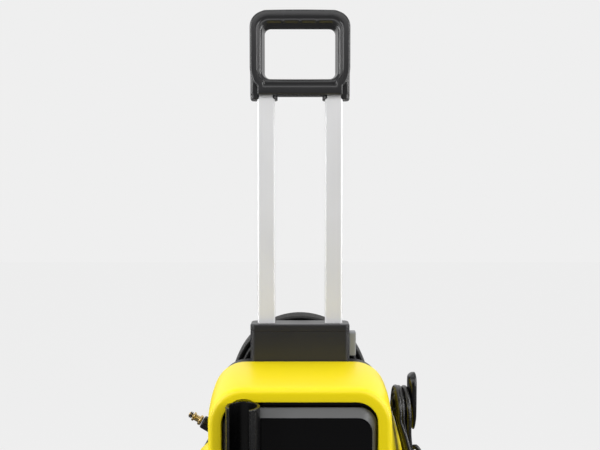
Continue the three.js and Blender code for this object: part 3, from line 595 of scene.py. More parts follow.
def settle(piece: Piece, body: str, finish: Finish, *nodes: str) -> Piece:
    """Dress a piece, put it on its body and let it stand for frame nodes.

    Args:
        piece: The piece, in place.
        body: The body it moves with.
        finish: Its finish.
        nodes: The nodes it stands for.

    Returns:
        The same piece.
    """
    finish.dress(piece)
    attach(piece, body)
    if nodes:
        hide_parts(*nodes)
    log.info("%s rides on %s", piece.name, body)
    return piece


def keep(finish: Finish, *nodes: str) -> None:
    """Give frame nodes whose shape is right a better finish."""
    for node in nodes:
        finish.dress(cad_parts[node])
        log.info("%s keeps its shape", node)


# ---- Camera, light and floor ---------------------------------------------------------------------


@dataclass
class Studio:
    """A plain pale studio with the camera straight in front."""

    camera_place: Point = (0.0, -0.934, 0.635)
    camera_tilt: float = 88.0
    focal_length: float = 39.48
    backdrop: tuple[int, int, int] = (239, 239, 239)

    def camera(self) -> None:
        """Set up the camera."""
        data = bpy.data.cameras.new("camera")
        data.lens = self.focal_length
        data.sensor_width = 36.0
        camera = bpy.data.objects.new("camera", data)
        camera.location = self.camera_place
        camera.rotation_euler = (math.radians(self.camera_tilt), 0.0, 0.0)
        bpy.context.scene.collection.objects.link(camera)
        bpy.context.scene.camera = camera
        bpy.context.scene.view_settings.view_transform = "Standard"

    def world(self) -> None:
        """An even backdrop for the camera, and soft light from a studio for everything else."""
        world = bpy.data.worlds.new("studio")
        world.use_nodes = True
        bpy.context.scene.world = world
        nodes = Nodes(world.node_tree)
        plain = nodes.add("ShaderNodeBackground", {"Color": rgba(self.backdrop), "Strength": 1.0})
        way = nodes.add("ShaderNodeTexCoord").outputs["Generated"]
        parts = nodes.add("ShaderNodeSeparateXYZ", {0: way})
        up = nodes.scale(parts.outputs["Z"], 0.3, 0.95, 0.0, 0.3)
        side = nodes.scale(nodes.math("ABSOLUTE", parts.outputs["X"]), 0.6, 0.95, 0.0, 0.6)
        behind = nodes.scale(parts.outputs["Y"], -0.1, 0.35, 0.0, 0.86)
        level = nodes.math("ADD", nodes.math("MAXIMUM", nodes.math("MAXIMUM", up, side), behind), 0.07)
        soft = nodes.add("ShaderNodeBackground", {"Color": (1.0, 1.0, 1.0, 1.0), "Strength": level})
        seen = nodes.add("ShaderNodeLightPath").outputs["Is Camera Ray"]
        both = nodes.add("ShaderNodeMixShader", {0: seen, 1: soft.outputs[0], 2: plain.outputs[0]})
        nodes.add("ShaderNodeOutputWorld", {"Surface": both.outputs[0]})

    def floor(self) -> None:
        """A pale floor that runs into the backdrop."""
        material = bpy.data.materials.new("studio_floor")
        material.use_nodes = True
        nodes = Nodes(material.node_tree)
        seen = nodes.add("ShaderNodeLightPath").outputs["Is Camera Ray"]
        pale = nodes.scale(seen, 0.0, 1.0, 0.14, 0.72)
        lit = nodes.add("ShaderNodeBsdfDiffuse", {"Color": nodes.mix(pale, (0, 0, 0, 1), (1, 1, 1, 1))})
        glow = nodes.add("ShaderNodeEmission", {"Color": rgba(self.backdrop), "Strength": 1.0})
        share = nodes.math("MULTIPLY", seen, 0.97)
        both = nodes.add("ShaderNodeMixShader", {0: share, 1: lit.outputs[0], 2: glow.outputs[0]})
        nodes.add("ShaderNodeOutputMaterial", {"Surface": both.outputs[0]})
        half = 6.0
        corners = [(-half, -half, 0), (half, -half, 0), (half, half, 0), (-half, half, 0)]
        floor = mesh_piece("floor", corners, [(0, 1, 2, 3)])
        floor.data.materials.append(material)

    def light(self, name: str, place: Point, aim: Point, size: tuple[float, float], power: float) -> None:
        """One soft area light.

        Args:
            name: Its name.
            place: Where it stands.
            aim: The point it faces.
            size: Width and height.
            power: Power in watts.
        """
        data = bpy.data.lights.new(name, "AREA")
        data.shape = "RECTANGLE"
        data.size, data.size_y = size
        data.energy = power
        lamp = bpy.data.objects.new(name, data)
        lamp.location = place
        lamp.rotation_euler = (Vector(aim) - Vector(place)).to_track_quat("-Z", "Y").to_euler()
        bpy.context.scene.collection.objects.link(lamp)

    def build(self) -> None:
        """Set the whole studio."""
        self.camera()
        self.world()
        self.floor()
        self.light("top_softbox", (0.0, 0.05, 1.9), (0.0, 0.0, 0.4), (1.2, 0.4), 2.5)
        self.light("front_softbox", (0.0, -1.15, 1.55), (0.0, -0.05, 0.4), (1.9, 0.7), 8.0)
        for name, side in (("left", -1), ("right", 1)):
            self.light(f"{name}_strip", (1.25 * side, -0.05, 0.85), (0.0, -0.05, 0.55), (0.15, 1.5), 9.0)
            self.light(f"{name}_fill", (1.2 * side, -1.0, 0.85), (0.0, 0.0, 0.5), (0.4, 1.4), 11.5)


# ---- High-pressure hose --------------------------------------------------------------------------


@dataclass
class PressureHose:
    """The high-pressure hose on its hook, with its free end, and what it is fixed to."""

    diameter: float = 0.009
    centre_height: float = 0.354
    turns: float = 9.708
    steps_per_turn: int = 72
    last_radius: float = 0.1015
    first_depth: float = 0.0805
    end_point: Point = (-0.134, 0.090, 0.279)
    end_tilt: float = 30.0
    tail: tuple[Point, ...] = (
        (-0.016, 0.1075, 0.244), (-0.046, 0.1075, 0.2446), (-0.073, 0.1065, 0.2486),
        (-0.096, 0.1005, 0.2572), (-0.1167, 0.0925, 0.269), (-0.134, 0.090, 0.279),
    )
    # For each turn: the layer from inside and the column from the front.
    wound: tuple[tuple[int, int], ...] = (
        (2, 0), (2, 1), (2, 2), (1, 2), (1, 1), (1, 0), (0, 0), (0, 1), (0, 2), (2, 3),
    )

    def slot_at(self, turn_count: float) -> tuple[float, float]:
        """Radius and depth of the hose after a number of turns. It shifts in a turn's last quarter."""
        index = min(int(turn_count), len(self.wound) - 1)
        after = min(index + 1, len(self.wound) - 1)
        part = turn_count - index
        (layer, column), (next_layer, next_column) = self.wound[index], self.wound[after]
        if index == len(self.wound) - 2:
            # The last turn leaves the inner layer sideways first, then climbs over the rest.
            aside = ease(0.5, 0.75, part)
            climb = ease(0.72, 1.0, part)
        else:
            aside = climb = ease(0.72, 1.0, part)
        at_layer = layer + (next_layer - layer) * climb
        at_column = column + (next_column - column) * aside
        radius = self.last_radius - (2 - at_layer) * self.diameter
        return radius, self.first_depth + at_column * self.diameter

    def coil(self) -> list[Point]:
        """Points on the coil, clockwise seen from the front, from its left side."""
        points = []
        count = int(self.turns * self.steps_per_turn)
        for i in range(count + 1):
            turned = i / self.steps_per_turn
            angle = math.pi - math.tau * turned
            radius, depth = self.slot_at(turned)
            x = radius * math.cos(angle)
            points.append((x, depth, self.centre_height + radius * math.sin(angle)))
        return points

    def hose(self, with_pieces: list[Piece]) -> None:
        """The hose itself, from the outlet nut to the collar."""
        x = -self.last_radius
        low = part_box("hose_riser")[0].z
        riser = [(x, self.first_depth, low + (self.centre_height - low) * i / 8) for i in range(8)]
        points = smooth_route([*riser, *self.coil(), (0.005, 0.1075, 0.2503), *self.tail], 0.004)
        hose, length = cord_curve("pressure_hose", points, self.diameter)
        settle(hose, "root", HOSE, "hose_coil", "hose_riser", "hose_tail")
        log.info("the hose is %.2f m long", length)

    def end_fitting(self) -> list[Piece]:
        """The ribbed collar, brass nipple and seal on the free end."""
        tilt = math.radians(-90 + self.end_tilt)
        place = Matrix.Translation(self.end_point) @ Matrix.Rotation(tilt, 4, "Y")
        collar = turn("hose_end_collar", [
            (0.0046, 0.001), (0.0078, 0.001), (0.0085, 0.002), (0.0095, 0.005), (0.0100, 0.007),
            (0.0100, 0.0205), (0.0090, 0.0220), (0.0068, 0.0225), (0.0046, 0.0225),
        ], (0, 0, 0), steps=48)
        carve(collar, *flutes(8, 0.0106, 0.0016, (0.009, 0.0185), (0, 0, 0)))
        shade(soften(collar, 0.0004, 2, 30))
        nipple = turn("hose_end_nipple", [
            (0.0022, 0.0233), (0.0064, 0.0233), (0.0072, 0.0240), (0.0078, 0.0247), (0.0078, 0.0275),
            (0.0072, 0.0282), (0.0052, 0.0284), (0.0049, 0.0290), (0.0049, 0.0352), (0.0052, 0.0360),
            (0.0066, 0.0362), (0.0069, 0.0366), (0.0069, 0.0388), (0.0064, 0.0394), (0.0036, 0.0396),
            (0.0033, 0.0400), (0.0033, 0.0458), (0.0029, 0.0463), (0.0018, 0.0463), (0.0018, 0.0240),
        ], (0, 0, 0), steps=48)
        shade(nipple, 50)
        profile = [(r + 0.0042, h + 0.0420) for r, h in arc(0, 0, 0.0009, 0, 360, 12)[:-1]]
        backing = [(r + 0.0041, h + 0.0442) for r, h in arc(0, 0, 0.00085, 0, 360, 12)[:-1]]
        seal = merge(turn("hose_end_seal", profile, (0, 0, 0)), turn("backing", backing, (0, 0, 0)))
        shade(seal, 60, weighted=False)
        pieces = [collar, nipple, seal]
        for piece in pieces:
            piece.data.transform(place)
        settle(collar, "root", TUBE, "hose_collar")
        settle(nipple, "root", BRASS, "hose_nipple")
        settle(seal, "root", RUBBER, "hose_o_ring")
        return pieces

    def band(self, outer: float, inside: float, start: float = 15.0) -> Flat:
        """An arched band about the coil's axis, open at the bottom up to an angle on each side."""
        z = self.centre_height
        return [*arc(0, z, outer, start, 180 - start, 40), *arc(0, z, inside, 180 - start, start, 40)]

    def rib(self, angle: float, inner: float, front: float, back: float) -> Piece:
        """One radial rib inside the saddle, lower at its back."""
        along = Vector((math.cos(math.radians(angle)), 0, math.sin(math.radians(angle))))
        across = Vector((-along.z, 0, along.x)) * 0.0011
        rings = []
        for y, tall in ((front + 0.0002, 0.045), (back - 0.004, 0.012)):
            axis = Vector((0, y, self.centre_height))
            inside, outside = axis + along * (inner - tall), axis + along * (inner - 0.002)
            corners = (inside - across, outside - across, outside + across, inside + across)
            rings.append([tuple(corner) for corner in corners])
        return skin("rib", rings)

    def hook(self) -> None:
        """The saddle that the coil hangs on."""
        low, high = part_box("hose_hook")
        inner = self.last_radius - 2.5 * self.diameter - 0.0003
        front, lip = low.y, self.first_depth + 3.5 * self.diameter + 0.0003
        saddle = pull("hose_saddle", self.band(inner, inner - 0.005), front, high.y, Plane.FRONT)
        rim = pull("rim", self.band(inner + 0.0158, inner - 0.004, 18), lip, high.y - 0.0001, Plane.FRONT)
        plate = pull("plate", self.band(inner - 0.0002, inner - 0.050, 17), front + 0.0001, front + 0.004,
                     Plane.FRONT)
        join(saddle, rim, plate)
        join(saddle, *[self.rib(angle, inner, front, high.y) for angle in (40, 65, 90, 115, 140)])
        soften(saddle, 0.0009, 2, 35)
        settle(shade(saddle), "root", HOUSING, "hose_hook")
    def outlet(self) -> None:
        """The brass elbow and the hexagonal nut that the hose leaves."""
        low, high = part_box("outlet_elbow")
        x, y = middle(low, high)[0], self.first_depth
        z = low.z + 0.009
        elbow = turn("water_outlet", [
            (0, low.y), (0.0088, low.y), (0.0088, low.y + 0.004), (0.0080, low.y + 0.0046), (0.0080, y),
            (0.0, y),
        ], (x, 0, z), Plane.FRONT)
        upright = turn("upright", [
            (0, z - 0.0085), (0.0070, z - 0.0085), (0.0085, z - 0.007), (0.0085, z + 0.010),
            (0.0078, z + 0.011), (0.0078, z + 0.0165), (0.0088, z + 0.0170), (0.0088, high.z), (0, high.z),
        ], (x, y, 0))
        settle(shade(soften(join(elbow, upright), 0.0006, 2, 40)), "root", BRASS, "outlet_elbow")
        low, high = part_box("outlet_nut")
        nut = pull("hose_nut", arc(x, y, 0.0094, 0, 360, 6)[:-1], low.z, low.z + 0.013, Plane.TOP)
        sleeve = turn("sleeve", [(0, low.z + 0.012), (0.0078, low.z + 0.012), (0.0066, high.z), (0, high.z)],
                      (x, y, 0))
        join(nut, sleeve)
        bore = rod("bore", 0.0047, 0.1, 0.3, (x, y, 0), steps=24)
        settle(shade(soften(carve(nut, bore), 0.0007, 2, 25)), "root", TUBE, "outlet_nut")

    def build(self) -> None:
        """Make the hose and everything it hangs on and ends in."""
        self.hose(self.end_fitting())
        self.hook()
        self.outlet()


# ---- Mains cable ---------------------------------------------------------------------------------


@dataclass
class MainsCable:
    """The mains cable wound over its two hooks, with its strain relief and plug."""

    diameter: float = 0.0072
    bend: float = 0.0222
    hook_depth: float = -0.008
    shoulder: float = 0.125
    flare: float = 0.025
    loop_top: float = 0.3350
    loop_bottom: float = 0.1470
    layer_pitch: float = 1.02
    rows: int = 9
    arcs: int = 12
    lead: tuple[Point, ...] = (
        (0.1629, 0.044, 0.200), (0.172, 0.044, 0.200), (0.181, 0.042, 0.206), (0.1855, 0.036, 0.222),
        (0.185, 0.024, 0.243), (0.179, 0.016, 0.262), (0.169, 0.0145, 0.278),
    )
    # Column and layer of each loop, from the outside of the lower part.
    loops: tuple[tuple[float, float], ...] = (
        (3, 0), (2, 0), (1, 0), (0, 0), (0, 1), (1, 1), (2, 1), (3, 1), (0, 1.9),
    )

    def inner_side(self, z: float) -> float:
        """X of the hank's side that faces the hood."""
        share = clamp((0.355 - z) / 0.115)
        swell = self.flare * math.sin(share * math.pi / 2)
        return self.shoulder + max(0.0025, swell + 0.0015)

    def outer_side(self, z: float) -> float:
        """X of the hank's outer side."""
        return 0.1527 + 0.022 * clamp((0.301 - z) / 0.060)

    def strand(self, column: float, layer: float, z: float) -> tuple[float, float]:
        """X of a strand's centre and its bend radius, for a column and a layer at one height."""
        low, high = self.inner_side(z) + self.diameter / 2, self.outer_side(z) - self.diameter / 2
        pitch = (high - low) / 3
        step = min(pitch, self.diameter * 0.999)
        lift = math.sqrt(max(0.0, self.diameter ** 2 - step ** 2))
        odd = 1 - abs((column % 2) - 1)
        x = low + column * pitch
        return x, self.bend + layer * self.diameter * self.layer_pitch + odd * lift

    def round_post(self, column: float, layer: float, height: float, angle: float) -> Point:
        """A point on the bend round the post at a height, at an angle from the back."""
        x, radius = self.strand(column, layer, height)
        return (x, self.hook_depth + radius * math.cos(angle), height + radius * math.sin(angle))

    def last_strand(self, column: float, layer: float) -> list[Point]:
        """Points down the front, where the last strand crosses the others on its way to the plug."""
        points = []
        for i in range(self.rows - 2):
            z = self.loop_top - (self.loop_top - self.loop_bottom) * i / self.rows
            x, _ = self.strand(column + 2.7 * ease(0.0, 6.0, i), layer, z)
            out = self.bend + layer * self.diameter * self.layer_pitch + 0.0045 * ease(0.0, 2.0, i)
            points.append((x, self.hook_depth - out, z))
        return points

    def wound(self) -> list[Point]:
        """Points on the loops: up behind, over the upper post, down in front, under the lower post."""
        points: list[Point] = []
        straight = self.loop_top - self.loop_bottom
        for number, (column, layer) in enumerate(self.loops):
            # The lead joins the first loop two thirds of the way up.
            for i in range(0 if number else 6, self.rows):
                z = self.loop_bottom + straight * i / self.rows
                x, radius = self.strand(column, layer, z)
                points.append((x, self.hook_depth + radius, z))
            for i in range(self.arcs):
                points.append(self.round_post(column, layer, self.loop_top, math.pi * i / self.arcs))
            if number + 1 == len(self.loops):
                return points + self.last_strand(column, layer)
            for i in range(self.rows):
                z = self.loop_top - straight * i / self.rows
                x, radius = self.strand(column, layer, z)
                points.append((x, self.hook_depth - radius, z))
            next_column, next_layer = self.loops[number + 1]
            for i in range(self.arcs):
                moved = ease(0.0, 1.0, i / self.arcs)
                points.append(self.round_post(
                    column + (next_column - column) * moved, layer + (next_layer - layer) * moved,
                    self.loop_bottom, math.pi + math.pi * i / self.arcs))
        return points
    def cable(self, with_pieces: list[Piece]) -> None:
        """The cable itself, from its strain relief to the plug."""
        low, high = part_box("cable_tail")
        x, y, _ = middle(low, high)
        tail = [(x, y, high.z - (high.z - low.z) * i / 3) for i in range(4)]
        points = smooth_route([*self.lead, *self.wound(), *tail], 0.004)
        cable, length = cord_curve("mains_cable", points, self.diameter)
        settle(cable, "root", FLEX, "cable_hank", "cable_lead", "cable_tail")
        log.info("the cable is %.2f m long", length)

    def strain_relief(self) -> Piece:
        """The ribbed tapered sleeve where the cable leaves the housing."""
        low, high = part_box("cable_gland")
        _, y, z = middle(low, high)
        inner = self.diameter / 2 + 0.0002
        profile = [(inner, low.x), (0.0089, low.x), (0.0089, low.x + 0.0042), (0.0080, low.x + 0.005)]
        ribs = 8
        length = 0.0215
        for i in range(ribs):
            start = low.x + 0.006 + length * i / ribs
            radius = 0.0074 - 0.0030 * i / ribs
            profile += [(radius, start), (radius - 0.0002, start + 0.0016), (radius - 0.0010, start + 0.0018),
                        (radius - 0.0011, start + 0.0025)]
        profile += [(inner + 0.0006, low.x + 0.006 + length), (inner, low.x + 0.006 + length)]
        sleeve = turn("cable_strain_relief", profile, (0, y, z), Plane.SIDE, 32)
        return settle(shade(sleeve, 45), "root", RUBBER, "cable_gland")

    def plug(self) -> Piece:
        """The moulded plug with its two round pins and its own taper."""
        low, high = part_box("mains_plug")
        x, y, _ = middle(low, high)
        base = low.z + 0.019
        rings = []
        stations = (
            (0.0, 0.0140, 0.0140), (0.0008, 0.0150, 0.0150), (0.006, 0.0177, 0.0168),
            (0.010, 0.0179, 0.0165), (0.018, 0.0179, 0.0160), (0.025, 0.0168, 0.0140),
            (0.031, 0.0130, 0.0108), (0.037, 0.0090, 0.0084), (0.041, 0.0076, 0.0076),
        )
        for rise, wide, deep in stations:
            ring = []
            for i in range(48):
                angle = math.tau * i / 48
                sides = abs(math.cos(angle)) ** 6
                grip = 0.0009 * ease(0.008, 0.012, rise) * ease(0.028, 0.022, rise) * sides
                waves = 0.5 + 0.5 * math.cos(rise * math.tau / 0.0035)
                ring.append((x + (wide - grip * waves) * math.cos(angle), y + deep * math.sin(angle),
                             base + rise))
            rings.append(ring)
        body = skin("plug_body", rings)
        profile = [(0, base + 0.040), (0.0076, base + 0.040)]
        ribs = 6
        for i in range(ribs):
            start = base + 0.041 + 0.0145 * i / ribs
            radius = 0.0073 - 0.0022 * i / ribs
            profile += [(radius, start), (radius, start + 0.0014), (radius - 0.0009, start + 0.0016),
                        (radius - 0.0009, start + 0.0023)]
        profile += [(0.0042, high.z), (0, high.z)]
        join(body, turn("taper", profile, (x, y, 0), steps=32))
        shade(body, 45)
        settle(body, "root", RUBBER, "mains_plug")
        pins = []
        tip = low.z
        for letter, aside in (("a", 0.0095), ("b", -0.0095)):
            pin = turn(f"plug_pin_{letter}", [
                (0, tip), (0.0013, tip), (0.0021, tip + 0.0008), (0.0024, tip + 0.002),
                (0.0024, base + 0.001), (0, base + 0.001),
            ], (x, y + aside, 0), steps=24)
            pins.append(settle(shade(pin, 50), "root", BRASS))
        return [body, *pins]

    def upper_hook(self) -> None:
        """The turning hook: a tapered paddle on a post."""
        low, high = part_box("cable_hook_upper")
        top, bottom, outer = high.z, low.z, high.x
        half, foot, full = 0.0165, 0.012, 0.0115
        rings = []
        count = 40
        for i in range(count + 1):
            share = 0.5 - 0.5 * math.cos(math.pi * i / count)
            z = bottom + 0.0002 + (top - bottom - 0.0004) * share
            wide = half if z < top - half else math.sqrt(max(1e-8, half ** 2 - (z - top + half) ** 2))
            if z < bottom + foot:
                wide = math.sqrt(max(1e-8, foot ** 2 - (bottom + foot - z) ** 2))
            elif z < bottom + 0.045:
                wide = foot + (half - foot) * ease(bottom + foot, bottom + 0.045, z)
            # The paddle thins toward its foot, and both ends are rounded off.
            end = min(math.sqrt(1 - (1 - clamp(away / run)) ** 2)
                      for away, run in ((z - bottom, 0.006), (top - z, 0.009)))
            thick = max(0.0004, full * (0.42 + 0.58 * ease(bottom, bottom + 0.052, z)) * end)
            lean = 0.0022 * ease(bottom + 0.022, bottom, z)
            face = outer - lean - full / 2 * (1 - end) * (0.35 if z > bottom + 0.04 else 0.2)
            ring = []
            for j in range(32):
                angle = math.tau * j / 32
                c, s = math.cos(angle), math.sin(angle)
                x = math.copysign(abs(c) ** 0.62, c) * thick / 2
                y = math.copysign(abs(s) ** 0.75, s) * wide
                ring.append((face - thick / 2 + x, self.hook_depth + y, z))
            rings.append(ring)
        paddle = skin("cable_hook", rings)
        axis = 0.347
        post = turn("post", [
            (0, low.x), (0.0085, low.x), (0.0085, low.x + 0.0015), (0.0072, low.x + 0.0030),
            (0.0060, low.x + 0.004), (0.0060, outer - full), (0.0060, outer - 0.005), (0, outer - 0.005),
        ], (0, self.hook_depth, axis), Plane.SIDE)
        settle(shade(join(paddle, post), 45), "hook", TUBE, "cable_hook_upper")

    def lower_hook(self) -> None:
        """The fixed lower hook."""
        low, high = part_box("cable_hook_lower")
        axis = high.z - 0.0135
        half = 0.0135
        outline = [*arc(self.hook_depth, axis, half, 0, 180, 24),
                   *arc(self.hook_depth, low.z + half, half, 180, 360, 24)]
        paddle = pull("cable_rest", outline, high.x - 0.009, high.x, Plane.SIDE)
        soften(paddle, 0.0038, 5, 40)
        post = turn("post", [
            (0, low.x), (0.009, low.x), (0.009, low.x + 0.002), (0.006, low.x + 0.005),
            (0.006, high.x - 0.005), (0, high.x - 0.005),
        ], (0, self.hook_depth, axis), Plane.SIDE)
        settle(shade(join(paddle, post), 45), "root", TUBE, "cable_hook_lower")

    def build(self) -> None:
        """Make the cable and what it starts, hangs and ends in."""
        self.cable([self.strain_relief(), *self.plug()])
        self.upper_hook()
        self.lower_hook()


# ---- Hood and housing ----------------------------------------------------------------------------


@dataclass
class Hood:
    """The yellow front shell and the black housing behind it."""

    flare: float = 0.025
    flare_begin: float = 0.020
    flare_run: float = 0.095
    side_fall: float = 0.006
    right_flare: tuple[float, float] = (0.355, 0.240)
    left_flare: tuple[float, float] = (0.290, 0.262)
    top_fall: float = 0.008
    corner: float = 0.046
    wall: float = 0.003
    edge: float = 0.007
    band: float = 0.0175
    side_band: float = 0.0235
    lip_depth: float = 0.016
    lip_wall: float = 0.0025
    tube_radius: float = 0.0223
    rows: int = 26
    arcs: int = 12
    flats: int = 10

    def __post_init__(self) -> None:
        """Read the shell's place from the frame."""
        low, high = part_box("front_hood")
        self.front, self.rear = low.y, high.y
        self.bottom, self.top = low.z, high.z
        self.shoulder = high.x - self.flare
        self.arch_half = self.shoulder - self.side_band
        self.arch_top = self.top - self.top_fall - self.band
        self.arch_corner = self.corner - self.band
        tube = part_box("lance_holder")
        self.tube = middle(*tube)[:2]

    def taper(self, y: float) -> float:
        """How much of the taper toward the front there is at one depth."""
        return (1 - clamp((y - self.front) / (self.rear - self.front))) ** 2

    def side(self, half: float, corner_z: float, radius: float, swell: Callable, bottom: float) -> Flat:
        """One side of an arch from its foot to the top of its corner, on the right."""
        points = []
        for i in range(self.rows):
            z = bottom + (corner_z - bottom) * i / self.rows
            points.append((half + swell(z), z))
        return points + arc(half - radius, corner_z, radius, 0, 90, self.arcs)

    def arch(self, right: Flat, left: Flat) -> Flat:
        """A whole arch from its two sides, with points along its top."""
        mirrored = [(-x, z) for x, z in reversed(left)]
        return [*right, *line(right[-1], mirrored[0], self.flats)[1:], *mirrored]

    def swell(self, ends: tuple[float, float], share: float) -> Callable[[float], float]:
        """How far one side stands out at a height, when its flare lies between two heights."""
        start, end = ends
        return lambda z: share * self.flare * math.sin(clamp((start - z) / (start - end)) * math.pi / 2)

    def outline(self, y: float, inset: float, bottom: float) -> Flat:
        """The hood's outline at one depth, drawn in by a distance."""
        share = ease(self.front + self.flare_begin, self.front + self.flare_run, y)
        corner_z = self.top - self.top_fall * self.taper(y) - self.corner
        half, radius = self.shoulder - self.side_fall * self.taper(y) - inset, self.corner - inset
        right, left = (self.side(half, corner_z, radius, self.swell(ends, share), bottom)
                       for ends in (self.right_flare, self.left_flare))
        return self.arch(right, left)
    def opening(self, grow: float) -> Flat:
        """The arched opening, made larger by a distance."""
        side = self.side(self.arch_half + grow, self.arch_top - self.arch_corner, self.arch_corner + grow,
                         lambda z: 0.0, self.bottom)
        return self.arch(side, side)

    def front_shell(self) -> None:
        """The yellow shell, as one section swept round the arch."""
        loops: list[tuple[Flat, float]] = []
        depths = [self.rear - (self.rear - self.front - self.edge) * i / 14 for i in range(15)]
        for y in depths:
            loops.append((self.outline(y, 0.0, self.bottom), y))
        for inset, deep in quarter(self.edge):
            loops.append((self.outline(self.front + deep, inset, self.bottom), self.front + deep))
        round_in = 0.0016
        for i in range(5):
            angle = math.radians(22.5 * i)
            grow = round_in * (1 - math.sin(angle))
            loops.append((self.opening(grow), self.front + round_in * (1 - math.cos(angle))))
        lip_back = self.front + self.lip_depth
        loops.append((self.opening(0.0), lip_back))
        loops.append((self.opening(self.lip_wall), lip_back))
        inside = self.front + self.wall
        loops.append((self.opening(self.lip_wall), inside))
        loops.append((self.outline(inside, self.edge + self.wall, self.bottom), inside))
        for y in reversed(depths):
            at = max(y, inside + self.edge)
            loops.append((self.outline(at, self.wall, self.bottom), at))
        shell = carve(sweep("hood", loops), self.tube_relief())
        shade(shell, 38, weighted=False)
        settle(shell, "root", YELLOW, "front_hood")

    def tube_relief(self) -> Piece:
        """The domed space that the lance holder stands in."""
        start = self.arch_top - 0.006
        dome = [(self.tube_radius * math.cos(a), start + 0.0135 * math.sin(a))
                for a in (math.radians(9 * i) for i in range(10))]
        profile = [(0, 0.06), (self.tube_radius, 0.06), *dome, (0, start + 0.0135)]
        return turn("tube_relief", profile, (*self.tube, 0), steps=72)

    def rear_shell(self) -> None:
        """The black housing with its column slot, vents and screws."""
        low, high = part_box("rear_housing")
        inset = self.wall + 0.001
        loops: list[tuple[Flat, float]] = [(self.outline(low.y, inset, low.z), low.y)]
        rounding = 0.012
        loops.append((self.outline(high.y - rounding, inset, low.z), high.y - rounding))
        for side_in, back_in in quarter(rounding):
            loops.append((self.outline(high.y - back_in, inset + side_in, low.z), high.y - back_in))
        deep = high.y - self.wall
        loops.append((self.outline(deep, inset + 0.006 + rounding, low.z), deep))
        loops.append((self.outline(high.y - rounding, inset + self.wall, low.z), high.y - rounding))
        loops.append((self.outline(low.y, inset + self.wall, low.z), low.y))
        back = pull("back", self.outline(high.y, inset + rounding - 0.001, low.z), deep, high.y, Plane.FRONT)
        shell = join(sweep("housing", loops), back)
        carve(shell, *self.openings(deep, high.y))
        shade(soften(shell, 0.0006, 2, 50), 40)
        settle(shell, "root", HOUSING, "rear_housing")
        self.screws(high.y)

    def openings(self, deep: float, back: float) -> list[Piece]:
        """The column's slot and the vents, from the inside of the housing's back to its outside."""
        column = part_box("handle_column")
        tools = [pull("slot", rounded(column[0].x - 0.0005, column[1].x + 0.0005, column[0].y - 0.0005,
                                      column[1].y + 0.0005, 0.0075), 0.33, 0.45, Plane.TOP)]
        for row in range(8):
            z = 0.142 + row * 0.0105
            tools.append(pull("vent", rounded(-0.052, 0.052, z, z + 0.005, 0.0024, 4), deep - 0.004,
                              back + 0.003, Plane.FRONT))
        for side in (1, -1):
            for row in range(6):
                z = 0.150 + row * 0.013
                tools.append(pull("vent", rounded(0.030, 0.056, z, z + 0.0055, 0.0026, 4), 0.138 * side,
                                  0.160 * side, Plane.SIDE))
        return tools

    def screws(self, back: float) -> None:
        """Four recessed cross-head screws in the housing's back."""
        heads = []
        for x, z in ((-0.118, 0.232), (0.118, 0.232), (-0.070, 0.130), (0.070, 0.130)):
            head = turn("screw", [
                (0, back - 0.0010), (0.0030, back - 0.0010), (0.0036, back - 0.0002), (0.0036, back + 0.0002),
                (0.0030, back + 0.0011), (0.0015, back + 0.0015), (0, back + 0.0016),
            ], (x, 0, z), Plane.FRONT, 24)
            slots = [block("slot", (x - a, back + 0.0004, z - b), (x + a, back + 0.003, z + b))
                     for a, b in ((0.0020, 0.00045), (0.00045, 0.0020))]
            heads.append(carve(head, *slots))
        screws = merge(*heads)
        screws.name = "housing_screws"
        settle(shade(screws, 35), "root", STEEL)

    def build(self) -> None:
        """Make both shells."""
        self.front_shell()
        self.rear_shell()


# ---- Front panel, lance holder and switch -----------------------------------------------------------


